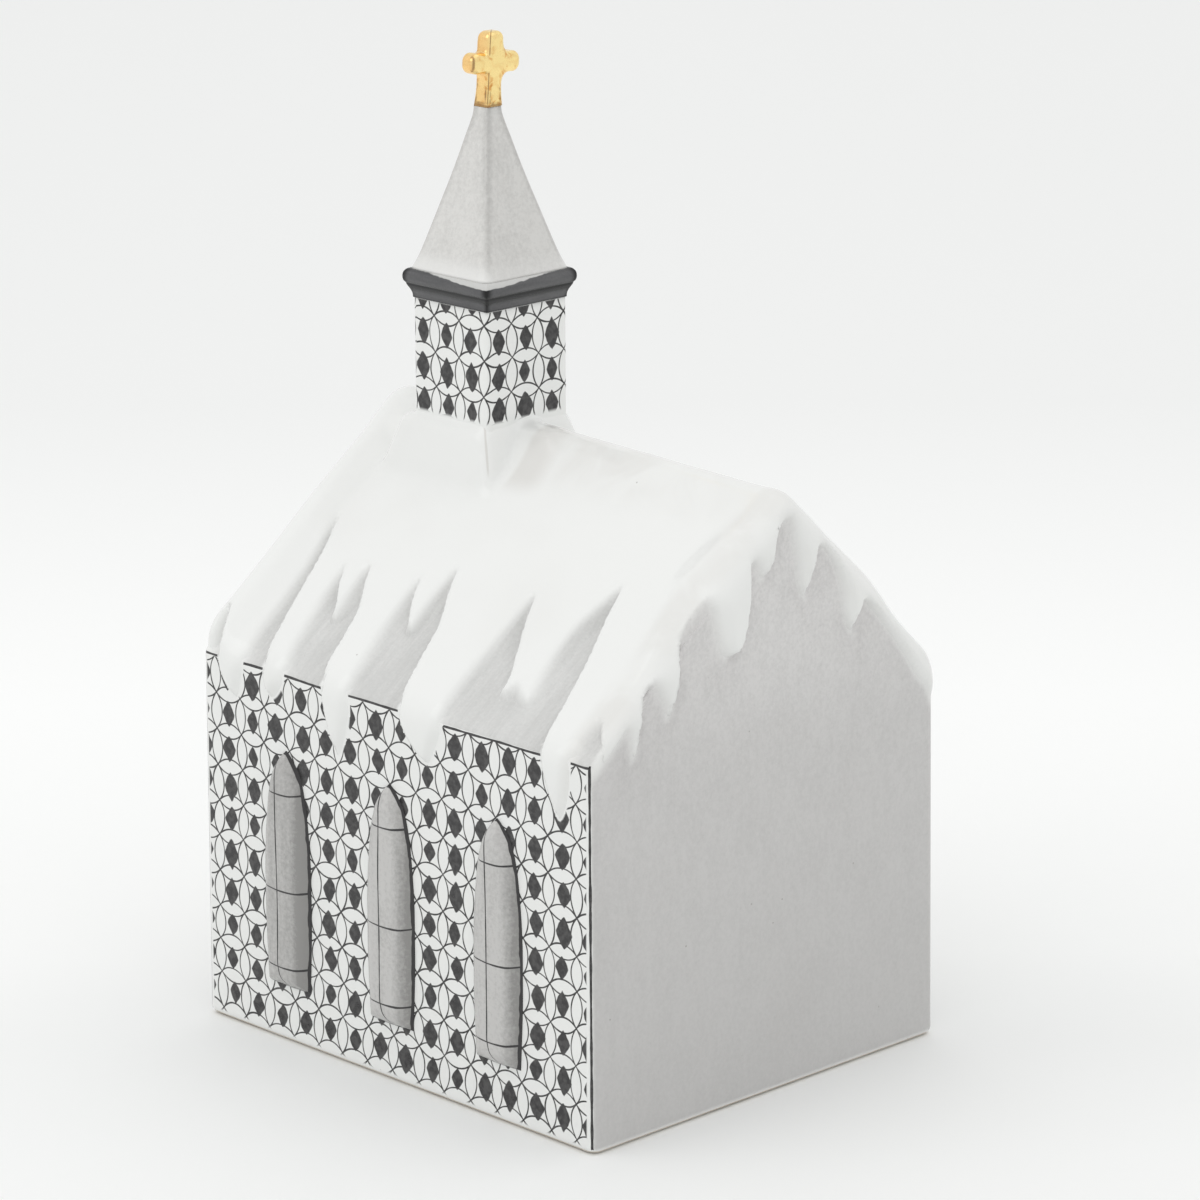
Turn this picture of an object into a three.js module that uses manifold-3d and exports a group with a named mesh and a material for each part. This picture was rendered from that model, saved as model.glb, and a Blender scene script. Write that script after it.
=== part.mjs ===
// Church figurine under snow: a slip-cast porcelain house form with a bell tower astride the ridge.
// Millimetres, +Z up. +X points out of the plain gable, -Y out of one windowed long wall, and the
// origin lies in the middle of the footprint, on the surface the figurine stands on.
import * as THREE from 'three';
import { mergeVertices } from 'three/addons/utils/BufferGeometryUtils.js';
import Module from 'manifold-3d';

const wasm = await Module();
wasm.setup();

// The hollow body
const wallLength = 85.2;      // along the ridge, measured at the foot
const wallWidth = 71.6;       // across the ridge, measured at the foot
const wallHeight = 58;        // foot to eave
const ridgeHeight = 87.8;     // foot to the bare ridge
const ridgeShift = 4.4;       // the ridge was modelled this far off the middle, away from -Y
const draft = 0.0063;         // lean of every wall, mm per mm of height, so the cast leaves its mould
const shell = 3.4;            // thickness of the cast wall
const cornerRadius = 1.4;     // upright corners
const footRadius = 1.2;       // round under the foot of the walls
const seam = 0.3;             // slip joint left between pieces that are stuck together

// The floor that closes the casting
const floorRecess = 1.2;      // height of the floor's underside above the table
const floorThickness = 3;
const ventDiameter = 8;       // lets the air out in the kiln

// Lancet windows and door, cast as shallow cushions
const windowHeight = 37;
const windowFootWidth = 9.4;
const windowBelly = 10.2;     // widest, about half way up
const windowSpringWidth = 7.9;
const windowSpring = 30.8;    // sill to the springing of the point
const windowSill = 9.1;       // table to sill
const windowPitch = 23;       // from one window to the next
const windowRelief = 1.5;
const doorHeight = 30;
const doorWidth = 15;
const doorSpring = 19;
const doorSill = 1.6;
const doorRelief = 0.85;

// Bell tower, cornice, spire and cross, one above the other
const towerSetback = 22.1;    // rear gable to the middle of the tower
const towerSize = 16.4;
const towerTop = 109.3;
const towerCorner = 0.7;
const corniceHeight = 4.4;
const corniceOverhang = 1.15;
const spireHeight = 24.6;
const spireFootSize = 17.4;
const spireTipSize = 3;
const crossHeight = 11.8;
const crossSpan = 9.4;
const crossArmHeight = 6.8;   // spire tip to the middle of the arms
const crossThickness = 2.5;   // front to back
const crossLimb = 2.8;        // breadth of a limb seen from the front

// Snow
const snowDepthNear = 1.8;    // measured upright, low on the slope at the plain gable
const snowDepthFar = 3.6;     // the same at the tower end
const snowHeap = 1.6;         // towards the ridge it lies this many times as deep
const crestDrop = 1.2;        // rounding of the snow on the ridge, below the sharp line of its slopes
const dripDepth = 1.35;       // on the long walls
const vergeDepth = 1.5;       // on the gables
const vergeRound = 2.2;       // round of the snow where it turns onto a gable
const vergeThin = 0.3;        // share of that depth left at the eaves
const snowEdge = 2.4;         // width of the soft edge of the snow
const drapeLength = 12;       // how far down the walls snow may reach
const driftTop = 91.2;        // top of the drift packed round the foot of the tower
const driftShelf = 1.5;       // shelf of the drift beside the tower
const driftLag = 0.6;         // the drift lies this far off the tower's axis, away from the plain gable
const driftSlope = 0.3;       // run of its banks, mm per mm down
const cornerTongue = 2.4;     // gable to the middle of the last tongue of bare roof, at the eave
const cornerIcicle = 6.2;     // corner of the near wall to the first notch between icicles

// Tongues of bare roof between the snow, seen on -Y: where they leave the eave and how wide they are
// there, and where they end up the slope
const bareTongues = [
  { eave: -40.2, width: 2.4, top: -41.2, reach: 8 },
  { eave: -30.6, width: 4.2, top: -35.6, reach: 27.9 },
  { eave: -19.9, width: 6.6, top: -26.9, reach: 19.6 },
  { eave: -18.4, width: 6.6, top: -22.4, reach: 21 },
  { eave: -4.5, width: 9.6, top: -11.8, reach: 21.4 },
  { eave: -3.2, width: 9.4, top: -6.6, reach: 25 },
  { eave: 17.4, width: 12.4, top: 11.1, reach: 23.3 },
  { eave: 20, width: 5, top: 19.4, reach: 9.6 },
  { eave: 25.2, width: 11.8, top: 25.6, reach: 28.2 },
  { eave: 40.2, width: 5, top: 37.6, reach: 8.1 },
];
// The snow between two tongues runs over the eave and down the wall: how far, and how far aside
const drips = [
  { drop: 4.6, lean: 1.6 },
  { drop: 4.4, lean: 0 },
  { drop: 10.3, lean: 0.8 },
  { drop: 7.2, lean: 1.8 },
  { drop: 9, lean: 1.6 },
];
// Icicles on the gable, set out from the ridge: notches between them, and the tip of each
const icicleNotches = [-34, -27.4, -16.2, -7, -0.7, 7.3, 16.2];
const icicles = [
  { tip: -31.2, drop: 7.2 },
  { tip: -24.1, drop: 7.6 },
  { tip: -11.3, drop: 10.8 },
  { tip: -5.1, drop: 5 },
  { tip: 3.1, drop: 11 },
  { tip: 13, drop: 9 },
];
const vergeBand = 0.7;        // snow below the bare roof line between icicles

const snowStep = 1.35;        // spacing of the snow's sections along the ridge
const snowRow = 2.4;          // spacing of the points on a section

// Helpers: closed lofts through rings of points, and exact joins and cuts

function loft(rings) {
  const n = rings[0].length;
  const points = rings.flat();
  const index = [];
  for (let i = 0; i + 1 < rings.length; i++) {
    for (let j = 0; j < n; j++) {
      const a = i * n + j, b = i * n + ((j + 1) % n);
      index.push(a, b, b + n, a, b + n, a + n);
    }
  }
  for (const [ring, first, last] of [[rings[0], 0, false], [rings.at(-1), (rings.length - 1) * n, true]]) {
    const middle = ring.reduce((sum, p) => sum.add(p), new THREE.Vector3()).divideScalar(n);
    const m = points.push(middle) - 1;
    for (let j = 0; j < n; j++) {
      const a = first + j, b = first + ((j + 1) % n);
      index.push(...(last ? [m, a, b] : [m, b, a]));
    }
  }
  let volume = 0;
  for (let i = 0; i < index.length; i += 3) {
    const [a, b, c] = [points[index[i]], points[index[i + 1]], points[index[i + 2]]];
    volume += a.dot(new THREE.Vector3().crossVectors(b, c));
  }
  if (volume < 0) index.reverse();
  const geometry = new THREE.BufferGeometry().setFromPoints(points);
  geometry.setIndex(index);
  return geometry;
}

function solid(geometry) {
  const bare = geometry.clone();
  bare.deleteAttribute('normal');
  bare.deleteAttribute('uv');
  const merged = mergeVertices(bare, 1e-5);
  return new wasm.Manifold(new wasm.Mesh({
    numProp: 3,
    vertProperties: new Float32Array(merged.attributes.position.array),
    triVerts: new Uint32Array(merged.index.array),
  }));
}

function geometryOf(manifold) {
  const mesh = manifold.getMesh();
  const position = new Float32Array(mesh.numVert * 3);
  for (let i = 0; i < mesh.numVert; i++) {
    for (let k = 0; k < 3; k++) position[3 * i + k] = mesh.vertProperties[i * mesh.numProp + k];
  }
  const geometry = new THREE.BufferGeometry();
  geometry.setAttribute('position', new THREE.BufferAttribute(position, 3));
  geometry.setIndex(Array.from(mesh.triVerts));
  return geometry;
}

const { clamp, lerp, smoothstep } = THREE.MathUtils;

// A rectangle with round corners, at height z round the point (x, y)
function rectangle(halfX, halfY, radius, z, x = 0, y = 0) {
  const r = Math.min(radius, 0.45 * halfX, 0.45 * halfY);
  const ring = [];
  for (const [sx, sy, turn] of [[1, 1, 0], [-1, 1, 1], [-1, -1, 2], [1, -1, 3]]) {
    for (let i = 0; i <= 3; i++) {
      const a = (turn + i / 3) * Math.PI / 2;
      ring.push(new THREE.Vector3(
        x + sx * (halfX - r) + r * Math.cos(a), y + sy * (halfY - r) + r * Math.sin(a), z));
    }
  }
  return ring;
}

// The house form, grown by a margin on every face
const gableX = (z) => wallLength / 2 - draft * z;
const towerX = towerSetback - wallLength / 2;
const sideY = (z) => wallWidth / 2 - draft * z;
const eaveY = sideY(wallHeight);

function roofLine(y) {
  const run = y < ridgeShift ? (y + eaveY) / (ridgeShift + eaveY) : (eaveY - y) / (eaveY - ridgeShift);
  return wallHeight + run * (ridgeHeight - wallHeight);
}

function walls(grow, foot, radius, round) {
  const top = ridgeHeight + 5;
  const at = (z, inset) => rectangle(
    gableX(z) + grow - inset, sideY(z) + grow - inset, Math.max(radius + grow - inset, 0.3), z);
  const rings = [0, 30, 60].map((a) => at(
    foot + round * (1 - Math.cos(a * Math.PI / 180)), round * (1 - Math.sin(a * Math.PI / 180))));
  return solid(loft([...(round > 0 ? rings : []), at(foot + round, 0), at(top, 0)]));
}

function roofPrism(grow) {
  const rise = (side) => (ridgeHeight - wallHeight) / (eaveY - side * ridgeShift);
  const lift = (side) => grow * Math.hypot(1, rise(side));
  // the ridge of a roof whose two slopes are pushed out by the same margin
  const shift = (lift(1) - lift(-1)) / (rise(1) + rise(-1));
  const ridgeZ = ridgeHeight + lift(-1) + shift * rise(-1);
  const reach = eaveY + 6;
  const profile = [
    [ridgeShift + shift, ridgeZ],
    [-reach, roofLine(-reach) + lift(-1)], [-reach, -5], [reach, -5], [reach, roofLine(reach) + lift(1)],
  ];
  return solid(loft([-wallLength, wallLength].map((x) =>
    profile.map(([y, z]) => new THREE.Vector3(x, y, z)))));
}

const houseForm = (grow, foot = -2, radius = cornerRadius, round = 0) =>
  walls(grow, foot, radius, round).intersect(roofPrism(grow));

const body = houseForm(0, 0, cornerRadius, footRadius).subtract(houseForm(-shell));

// Floor plate, let in above the foot
const floorSize = (z) => rectangle(
  gableX(z) - shell - seam, sideY(z) - shell - seam, cornerRadius, z);
const ventRing = (z) => Array.from({ length: 20 }, (_, i) => new THREE.Vector3(
  ventDiameter / 2 * Math.cos(i * Math.PI / 10), ventDiameter / 2 * Math.sin(i * Math.PI / 10), z));
const floorPlate = solid(loft([floorSize(floorRecess), floorSize(floorRecess + floorThickness)]))
  .subtract(solid(loft([ventRing(floorRecess - 1), ventRing(floorRecess + floorThickness + 1)])));

// Cushion: an outline drawn in towards its spine while it rises, so that the edges are soft
function cushion(outline, relief) {
  const points = outline.getPoints(6);
  if (points[0].distanceTo(points.at(-1)) < 1e-6) points.pop();
  const low = Math.min(...points.map((p) => p.y)), high = Math.max(...points.map((p) => p.y));
  const width = Math.max(...points.map((p) => p.x));
  const ring = ([inset, rise]) => points.map((p) => {
    const spine = clamp(p.y, low + width, high - width);
    return new THREE.Vector3(lerp(p.x, 0, inset), lerp(p.y, spine, inset), relief * rise);
  });
  return loft([[0, 0], [0.05, 0.42], [0.14, 0.72], [0.28, 0.9], [0.5, 1]].map(ring));
}

function lancet(footWidth, belly, springWidth, spring, height) {
  const shape = new THREE.Shape();
  shape.moveTo(-footWidth / 2, 0);
  shape.lineTo(footWidth / 2, 0);
  const control = belly - (footWidth + springWidth) / 4;
  shape.quadraticCurveTo(control, spring * 0.55, springWidth / 2, spring);
  shape.quadraticCurveTo(springWidth * 0.39, lerp(spring, height, 0.6), 0, height);
  shape.quadraticCurveTo(-springWidth * 0.39, lerp(spring, height, 0.6), -springWidth / 2, spring);
  shape.quadraticCurveTo(-control, spring * 0.55, -footWidth / 2, 0);
  return shape;
}

// A ring of points with round corners and its own breadth and depth at each height
const tower = (levels, radius) => solid(loft(levels.map(([z, half]) =>
  rectangle(half, half, radius, z, towerX, ridgeShift))));

// Bell tower, cut to the saddle of the roof
const towerHalf = towerSize / 2;
const bellTower = tower([[wallHeight, towerHalf], [towerTop, towerHalf]], towerCorner)
  .subtract(houseForm(seam));

// Cornice: a cove, a crease and a full roll
const corniceHalf = towerHalf + corniceOverhang;
const corniceTop = towerTop + corniceHeight;
const cornice = tower([
  [0, 0.08], [0.14, 0.16], [0.27, 0.42], [0.38, 0.8], [0.43, 0.82], [0.47, 0.7], [0.52, 0.86],
  [0.6, 0.98], [0.7, 1], [0.82, 0.92], [0.92, 0.72], [1, 0.4],
].map(([t, out]) => [lerp(towerTop, corniceTop, t), lerp(towerHalf, corniceHalf, out)]), towerCorner);

// Spire: four sides, bell-cast at the foot and drawn out below the cross
const spireTop = corniceTop + spireHeight;
const spire = tower([
  [0, 1], [0.03, 0.955], [0.08, 0.885], [0.15, 0.805], [0.25, 0.7], [0.4, 0.545], [0.55, 0.39],
  [0.7, 0.245], [0.82, 0.135], [0.91, 0.05], [0.96, 0.012], [1, 0],
].map(([t, share]) => [lerp(corniceTop, spireTop, t), lerp(spireTipSize, spireFootSize, share) / 2]), 0.5);

// Cross: limbs that swell to soft ends, the upright standing on the tip of the spire
function limb(length, breadth, depth, foot, place) {
  const levels = [
    [0, foot], [0.04, (foot + 0.84) / 2 + 0.08], [0.1, 0.97], [0.17, 1], [0.3, 0.9], [0.5, 0.86],
    [0.7, 0.9], [0.83, 1], [0.9, 0.97], [0.96, 0.84], [1, 0.62],
  ];
  return solid(loft(levels.map(([t, swell]) =>
    rectangle(breadth / 2 * swell, depth / 2 * swell, 0.8 * swell, t * length)
      .map((p) => place(p)))));
}
const upright = limb(crossHeight, crossThickness, crossLimb, 1,
  (p) => new THREE.Vector3(towerX + p.x, ridgeShift + p.y, spireTop + p.z));
const arms = limb(crossSpan, crossLimb, crossThickness, 0.62, (p) => new THREE.Vector3(
  towerX + p.y, ridgeShift - crossSpan / 2 + p.z, spireTop + crossArmHeight + p.x));
const cross = upright.add(arms);

// Snow on the roof. Everything is set out on the unrolled roof: x along the ridge, s up the slope
// from the eave, with s below 0 down the wall.

// The last tongues keep their distance from the gables and the first notch from its corner, and the
// other tongues and icicles spread between them
const alongWall = (wallLength / 2 - cornerTongue) / bareTongues.at(-1).eave;
const acrossGable = (wallWidth / 2 + ridgeShift - cornerIcicle) / -icicleNotches[0];
const spread = (tongues) => tongues.map((t) => (
  { ...t, eave: t.eave * alongWall, width: t.width * alongWall, top: t.top * alongWall }));
const mirrored = (tongues) => tongues.map((t) => ({ ...t, eave: -t.eave, top: -t.top })).reverse();

// Stretches of eave that snow crosses, between the tongues
function crossings(tongues) {
  const bare = tongues.map((t) => [t.eave - t.width / 2, t.eave + t.width / 2]).sort((a, b) => a[0] - b[0]);
  const between = [];
  let end = bare[0][1];
  for (const [from, to] of bare) {
    if (from > end + 1) between.push([end, from]);
    end = Math.max(end, to);
  }
  return between;
}

// How far a point lies inside the snow's outline (below 0 on bare roof or wall)
function inside(x, s, tongues, runs) {
  if (s >= 0) {
    const free = Math.min(...tongues.map((t) => {
      if (s > t.reach) return Math.hypot(x - t.top, s - t.reach);
      const up = s / t.reach;
      return Math.abs(x - lerp(t.eave, t.top, up)) - t.width / 2 * (1 - up);
    }));
    // past the last tongue no snow crosses the eave
    return x < runs[0].from || x > runs.at(-1).to ? Math.min(free, s) : free;
  }
  return Math.max(...runs.map(({ from, to, drop, lean }) => {
    const down = -s / drop;
    const middle = (from + to) / 2 + lean * Math.min(down, 1);
    if (down > 1) return -Math.hypot(x - middle, -s - drop);
    return (to - from) / 2 * Math.sqrt(1 - down * down) - Math.abs(x - middle);
  }));
}

// A soft edge: 0 at the outline, 1 once the given width inside it
const swell = (depth, width) => (depth <= 0
  ? Math.max(depth, -1) * 0.6
  : Math.sin(Math.PI / 2 * clamp(depth / width, 0, 1)));

// Upright depth of the snow along the ridge, and as it heaps up towards the ridge
const snowDepth = (x, up) => lerp(snowDepthFar, snowDepthNear, clamp(x / wallLength + 0.5, 0, 1))
  * lerp(1, snowHeap, smoothstep(up, 0.3, 1));

// One side of the roof, from the foot of the drips to just short of the ridge
function slope(side, tongues, dripList) {
  const run = eaveY - side * ridgeShift;
  const rise = ridgeHeight - wallHeight;
  const length = Math.hypot(run, rise);
  const crest = 2 * crestDrop * length / rise;
  const runs = crossings(tongues).map(([from, to], i) => ({ from, to, ...dripList[i % dripList.length] }));
  const stations = [];
  for (let s = -drapeLength; s < -0.1; s += 0.8 * snowRow) stations.push(s);
  for (let s = 0; s < 0.6 * length; s += snowRow) stations.push(s);
  for (let i = 0; i < 3; i++) stations.push(lerp(0.65 * length, length - crest, i / 3));
  for (let i = 0; i < 3; i++) stations.push(length - crest * (1 - i / 3));
  return (x) => stations.map((s) => {
    const foot = s < 0
      ? [side * sideY(wallHeight + s), wallHeight + s]
      : [side * (eaveY - run * s / length), wallHeight + rise * s / length];
    const bend = smoothstep(s, -2.5, 2.5);
    const normal = new THREE.Vector2(side * lerp(1, rise / length, bend), lerp(0, run / length, bend)).normalize();
    const depth = lerp(dripDepth, snowDepth(x, s / length) * run / length, smoothstep(s, -3, 5));
    const t = depth * swell(inside(x, s, tongues, runs), snowEdge);
    const round = Math.max(0, 1 - (length - s) / crest);
    return new THREE.Vector3(x, foot[0] + normal.x * t, foot[1] + normal.y * t - crestDrop * round * round);
  });
}

function snowBlanket() {
  const near = slope(-1, spread(bareTongues), drips);
  const far = slope(1, mirrored(spread(bareTongues)), drips);
  const ridge = (x) => new THREE.Vector3(x, ridgeShift, ridgeHeight + snowDepth(x, 1) - crestDrop);
  const half = wallLength / 2 + vergeDepth;
  const count = Math.ceil(2 * half / (snowStep * alongWall));
  const rings = [];
  for (let i = 0; i <= count; i++) {
    const x = lerp(-half, half, i / count);
    rings.push([...near(x), ridge(x), ...far(x).reverse()]);
  }
  return solid(loft(rings));
}

// The two ends of the snow: how far it stands out of a gable, at a depth below the bare roof line
function verge(y, down, side) {
  const across = side * (y - ridgeShift);
  const depth = vergeDepth * lerp(1, vergeThin, smoothstep(Math.abs(y), 0.6 * eaveY, eaveY));
  if (down <= 0) {
    const up = clamp(-down / (snowDepthFar * snowHeap), 0, 1);
    return depth - vergeRound * (1 - Math.sqrt(1 - up * up));
  }
  const hang = icicles.map(({ tip, drop }, i) => {
    const [from, to, end] = [icicleNotches[i], icicleNotches[i + 1], tip].map((at) => at * acrossGable);
    const low = down / drop;
    if (low > 1) return -Math.hypot(across - end, down - drop);
    return (to - from) / 2 * (1 - low ** 1.5) - Math.abs(across - lerp((from + to) / 2, end, low));
  });
  return depth * swell(Math.max(vergeBand - down, ...hang), 0.8 * snowEdge);
}

function vergeSolid() {
  const depths = [-9, -5, -3.6, -2.2, -1, 0, 0.6];
  for (let d = 1.6; d < drapeLength; d += 0.7 * snowRow) depths.push(d);
  const half = eaveY + 4, columns = Math.ceil(2 * half / snowStep);
  const rings = [];
  for (let i = 0; i <= columns; i++) {
    const y = lerp(-half, half, i / columns);
    const face = (end) => [
      new THREE.Vector3(end * (gableX(wallHeight) - 1), y, wallHeight - drapeLength - 2),
      ...[...depths].reverse().map((down) => {
        const z = roofLine(y) - down;
        return new THREE.Vector3(end * (gableX(z) + verge(y, down, end)), y, z);
      }),
    ];
    rings.push([...face(1), ...face(-1).reverse()]);
  }
  return solid(loft(rings));
}

// Drift packed round the foot of the tower, a rounded bank on all four sides
const bank = (z, out) => rectangle(
  towerHalf + driftShelf + out, towerHalf + driftShelf + out, 2.5, z, towerX - driftLag, ridgeShift);
const driftDepth = driftTop - wallHeight - 6;
const drift = solid(loft([
  bank(driftTop - driftDepth, driftSlope * driftDepth), bank(driftTop - 1.2, 0.55),
  bank(driftTop - 0.4, 0.1), bank(driftTop, -0.9),
]));
const towerHole = tower([[wallHeight, towerHalf + seam], [towerTop, towerHalf + seam]], towerCorner);

const snow = snowBlanket().intersect(vergeSolid())
  .add(drift)
  .subtract(houseForm(seam))
  .subtract(towerHole);

// The assembled figurine

const group = new THREE.Group();

function add(name, geometry, color, roughness, metalness = 0, parent = group) {
  geometry.computeVertexNormals();
  const mesh = new THREE.Mesh(geometry, new THREE.MeshStandardMaterial({ color, roughness, metalness }));
  mesh.name = name;
  parent.add(mesh);
  return mesh;
}

const porcelain = 0xf0f2f1, greyWash = 0xb4b2b0, charcoal = 0x35363a, gold = 0xe0b45a;

add('nave_body', geometryOf(body), greyWash, 0.28);
add('base_floor', geometryOf(floorPlate), porcelain, 0.55);
add('roof_snow', geometryOf(snow), porcelain, 0.16);
add('bell_tower', geometryOf(bellTower), porcelain, 0.18);
add('tower_cornice', geometryOf(cornice), charcoal, 0.14);
add('spire', geometryOf(spire), 0xd6d5d3, 0.24);
add('cross', geometryOf(cross), gold, 0.2, 1);

// A face of the body carries a group that stands on the table and leans back with the wall. In it, x
// runs to the right and y up the wall, as seen from outside, and z points away from the wall.
function wallFace(distance, turn) {
  const face = new THREE.Group();
  const lean = new THREE.Matrix4().makeRotationX(Math.PI / 2 - Math.atan(draft));
  const spin = new THREE.Matrix4().makeRotationZ(turn);
  const out = new THREE.Vector3(Math.sin(turn), -Math.cos(turn), 0).multiplyScalar(distance);
  face.applyMatrix4(new THREE.Matrix4().makeTranslation(out).multiply(spin).multiply(lean));
  group.add(face);
  return face;
}

const windowOutline = () => lancet(windowFootWidth, windowBelly, windowSpringWidth, windowSpring, windowHeight);
for (const [side, turn] of [['left', 0], ['right', Math.PI]]) {
  const face = wallFace(wallWidth / 2, turn);
  for (const [i, place] of ['rear', 'middle', 'front'].entries()) {
    const name = `window_${side}_${place}`;
    const pane = add(name, cushion(windowOutline(), windowRelief), 0xa3a2a1, 0.3, 0, face);
    const along = (i - 1) * windowPitch;
    pane.position.set(turn === 0 ? along : -along, windowSill, seam);
  }
}

const doorOutline = lancet(doorWidth, doorWidth, doorWidth, doorSpring, doorHeight);
const door = add('entrance_door', cushion(doorOutline, doorRelief), charcoal, 0.25, 0,
  wallFace(wallLength / 2, -Math.PI / 2));
door.position.set(0, doorSill, seam);

export default group;
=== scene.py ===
# %% [markdown]
# # A porcelain church under snow
#
# The object is a glazed porcelain church, 15 cm tall. A pottery casts the house form hollow, luts on
# a tower, a spire and a cross, lays snow of thick white slip over the roof, glazes it all, and then
# paints the windows, the net on the walls and the grey washes by hand.
#
# The lesson follows that order. The snow is a field that is skinned, the house is a loft of rings,
# and what follows a rule or a path (panes, spire, cornice) is made by Geometry Nodes. The finishes
# are built from a few shader node groups: a glaze skin, a brushed wash, a pen line and a net.

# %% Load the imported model, which fixes the frame
import bpy, math
import numpy as np
from mathutils import Matrix, Vector


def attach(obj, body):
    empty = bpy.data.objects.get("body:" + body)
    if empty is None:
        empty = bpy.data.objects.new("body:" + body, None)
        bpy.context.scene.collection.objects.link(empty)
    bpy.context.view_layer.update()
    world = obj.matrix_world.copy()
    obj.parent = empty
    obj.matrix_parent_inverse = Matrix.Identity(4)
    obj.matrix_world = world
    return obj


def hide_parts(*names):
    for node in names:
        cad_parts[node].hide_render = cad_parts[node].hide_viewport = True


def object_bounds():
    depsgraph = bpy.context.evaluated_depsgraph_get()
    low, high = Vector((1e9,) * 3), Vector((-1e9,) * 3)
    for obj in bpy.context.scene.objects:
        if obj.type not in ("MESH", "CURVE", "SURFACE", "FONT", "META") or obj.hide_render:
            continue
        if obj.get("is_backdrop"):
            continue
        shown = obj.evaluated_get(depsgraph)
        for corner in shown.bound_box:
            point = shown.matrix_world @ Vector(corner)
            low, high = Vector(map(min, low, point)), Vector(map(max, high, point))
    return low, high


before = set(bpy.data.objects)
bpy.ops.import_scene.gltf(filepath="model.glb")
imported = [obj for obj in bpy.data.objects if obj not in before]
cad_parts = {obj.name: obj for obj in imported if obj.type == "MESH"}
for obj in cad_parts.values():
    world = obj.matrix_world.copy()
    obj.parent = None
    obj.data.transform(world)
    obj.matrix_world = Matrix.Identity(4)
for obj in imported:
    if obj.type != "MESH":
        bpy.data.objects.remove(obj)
cad_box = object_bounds()
MM = 0.001
print("nodes:", ", ".join(sorted(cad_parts)))
print("CAD box, mm:", [round(v / MM, 1) for corner in cad_box for v in corner])

# %% [markdown]
# ## Camera
#
# A product photographer stands well back with a long lens, so that upright edges stay nearly
# parallel. The view comes from a least-squares fit of the corners of the figurine. The camera is
# built from three directions (back, right, up) rather than turned by hand, because then the small
# roll of the picture is one more rotation of two of them.

# %% Place the camera
azimuth, elevation, roll = (math.radians(a) for a in (46.066, 15.516, -0.386))
camera_distance, lens, aim_right, aim_up = 762.65, 153.52, 5.18, 66.84

back = Vector((math.sin(azimuth) * math.cos(elevation),
               -math.cos(azimuth) * math.cos(elevation),
               math.sin(elevation)))
level = Vector((math.cos(azimuth), math.sin(azimuth), 0))
plumb = back.cross(level)
right = level * math.cos(roll) + plumb * math.sin(roll)
up = plumb * math.cos(roll) - level * math.sin(roll)
eye = (right * aim_right + Vector((0, 0, aim_up)) + back * camera_distance) * MM

camera = bpy.data.objects.new("studio_camera", bpy.data.cameras.new("studio_camera"))
bpy.context.scene.collection.objects.link(camera)
camera.matrix_world = Matrix((right, up, back)).transposed().to_4x4()
camera.location = eye
camera.data.lens, camera.data.sensor_width, camera.data.sensor_fit = lens, 36, "HORIZONTAL"
camera.data.clip_start, camera.data.clip_end = 0.05, 20
bpy.context.scene.camera = camera
bpy.context.scene.view_settings.view_transform = "Standard"
print("camera at", [round(v, 3) for v in eye], "m, lens", lens, "mm")

# %% [markdown]
# ## Writing node trees
#
# A material is a sum written with boxes. Small helpers keep it readable. A Wire stands for what
# comes out of a node, and sums are written with it as on paper: a * b + 1 adds the two nodes that
# it needs. The other helpers add a node, link or fill each of its inputs, and give back its wires.

# %% Wires: sums in a node tree
class Wire:
    """A value in a node tree."""

    def __init__(self, tree, socket):
        self.tree, self.socket = tree, socket

    def __add__(self, other):
        return calc(self.tree, "ADD", self, other)

    def __radd__(self, other):
        return calc(self.tree, "ADD", other, self)

    def __sub__(self, other):
        return calc(self.tree, "SUBTRACT", self, other)

    def __rsub__(self, other):
        return calc(self.tree, "SUBTRACT", other, self)

    def __mul__(self, other):
        return calc(self.tree, "MULTIPLY", self, other)

    def __truediv__(self, other):
        return calc(self.tree, "DIVIDE", self, other)

    def __rtruediv__(self, other):
        return calc(self.tree, "DIVIDE", other, self)

    def __pow__(self, other):
        return calc(self.tree, "POWER", self, other)

    def __abs__(self):
        return calc(self.tree, "ABSOLUTE", self)


# %% Helpers for shader and geometry trees
def feed(tree, socket, value):
    if isinstance(value, Wire):
        tree.links.new(value.socket, socket)
    else:
        socket.default_value = value


def node(tree, kind, inputs=None, **settings):
    made = tree.nodes.new(kind)
    for name, value in settings.items():
        setattr(made, name, value)
    for key, value in (inputs or {}).items():
        feed(tree, made.inputs[key], value)
    return made


def wire(tree, kind, inputs=None, output=0, **settings):
    """One output of a new node."""
    return Wire(tree, node(tree, kind, inputs, **settings).outputs[output])


def wires(tree, made):
    """All outputs of a node, by name."""
    return {socket.name: Wire(tree, socket) for socket in made.outputs if socket.name}


def link(value, socket):
    value.tree.links.new(value.socket, socket)


def calc(tree, operation, *values, clamp=False):
    return wire(tree, "ShaderNodeMath", dict(enumerate(values)), operation=operation, use_clamp=clamp)


def larger(tree, first, second):
    return calc(tree, "MAXIMUM", first, second)


def smaller(tree, first, second):
    return calc(tree, "MINIMUM", first, second)


def ramp(tree, value, low, high, to_low=0.0, to_high=1.0):
    """Smooth step of a value from one range to another."""
    inputs = {0: value, 1: low, 2: high, 3: to_low, 4: to_high}
    return wire(tree, "ShaderNodeMapRange", inputs, interpolation_type="SMOOTHSTEP")


def blend(tree, share, first, second):
    """Mix of two colours; a plain tuple is a linear colour."""
    return wire(tree, "ShaderNodeMix", {0: share, 6: first, 7: second}, output=2, data_type="RGBA")


def noise(tree, where, scale, detail, **more):
    return wire(tree, "ShaderNodeTexNoise", {"Vector": where, "Scale": scale, "Detail": detail, **more})


def joined(tree, x, y, z):
    return wire(tree, "ShaderNodeCombineXYZ", {0: x, 1: y, 2: z})


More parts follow.
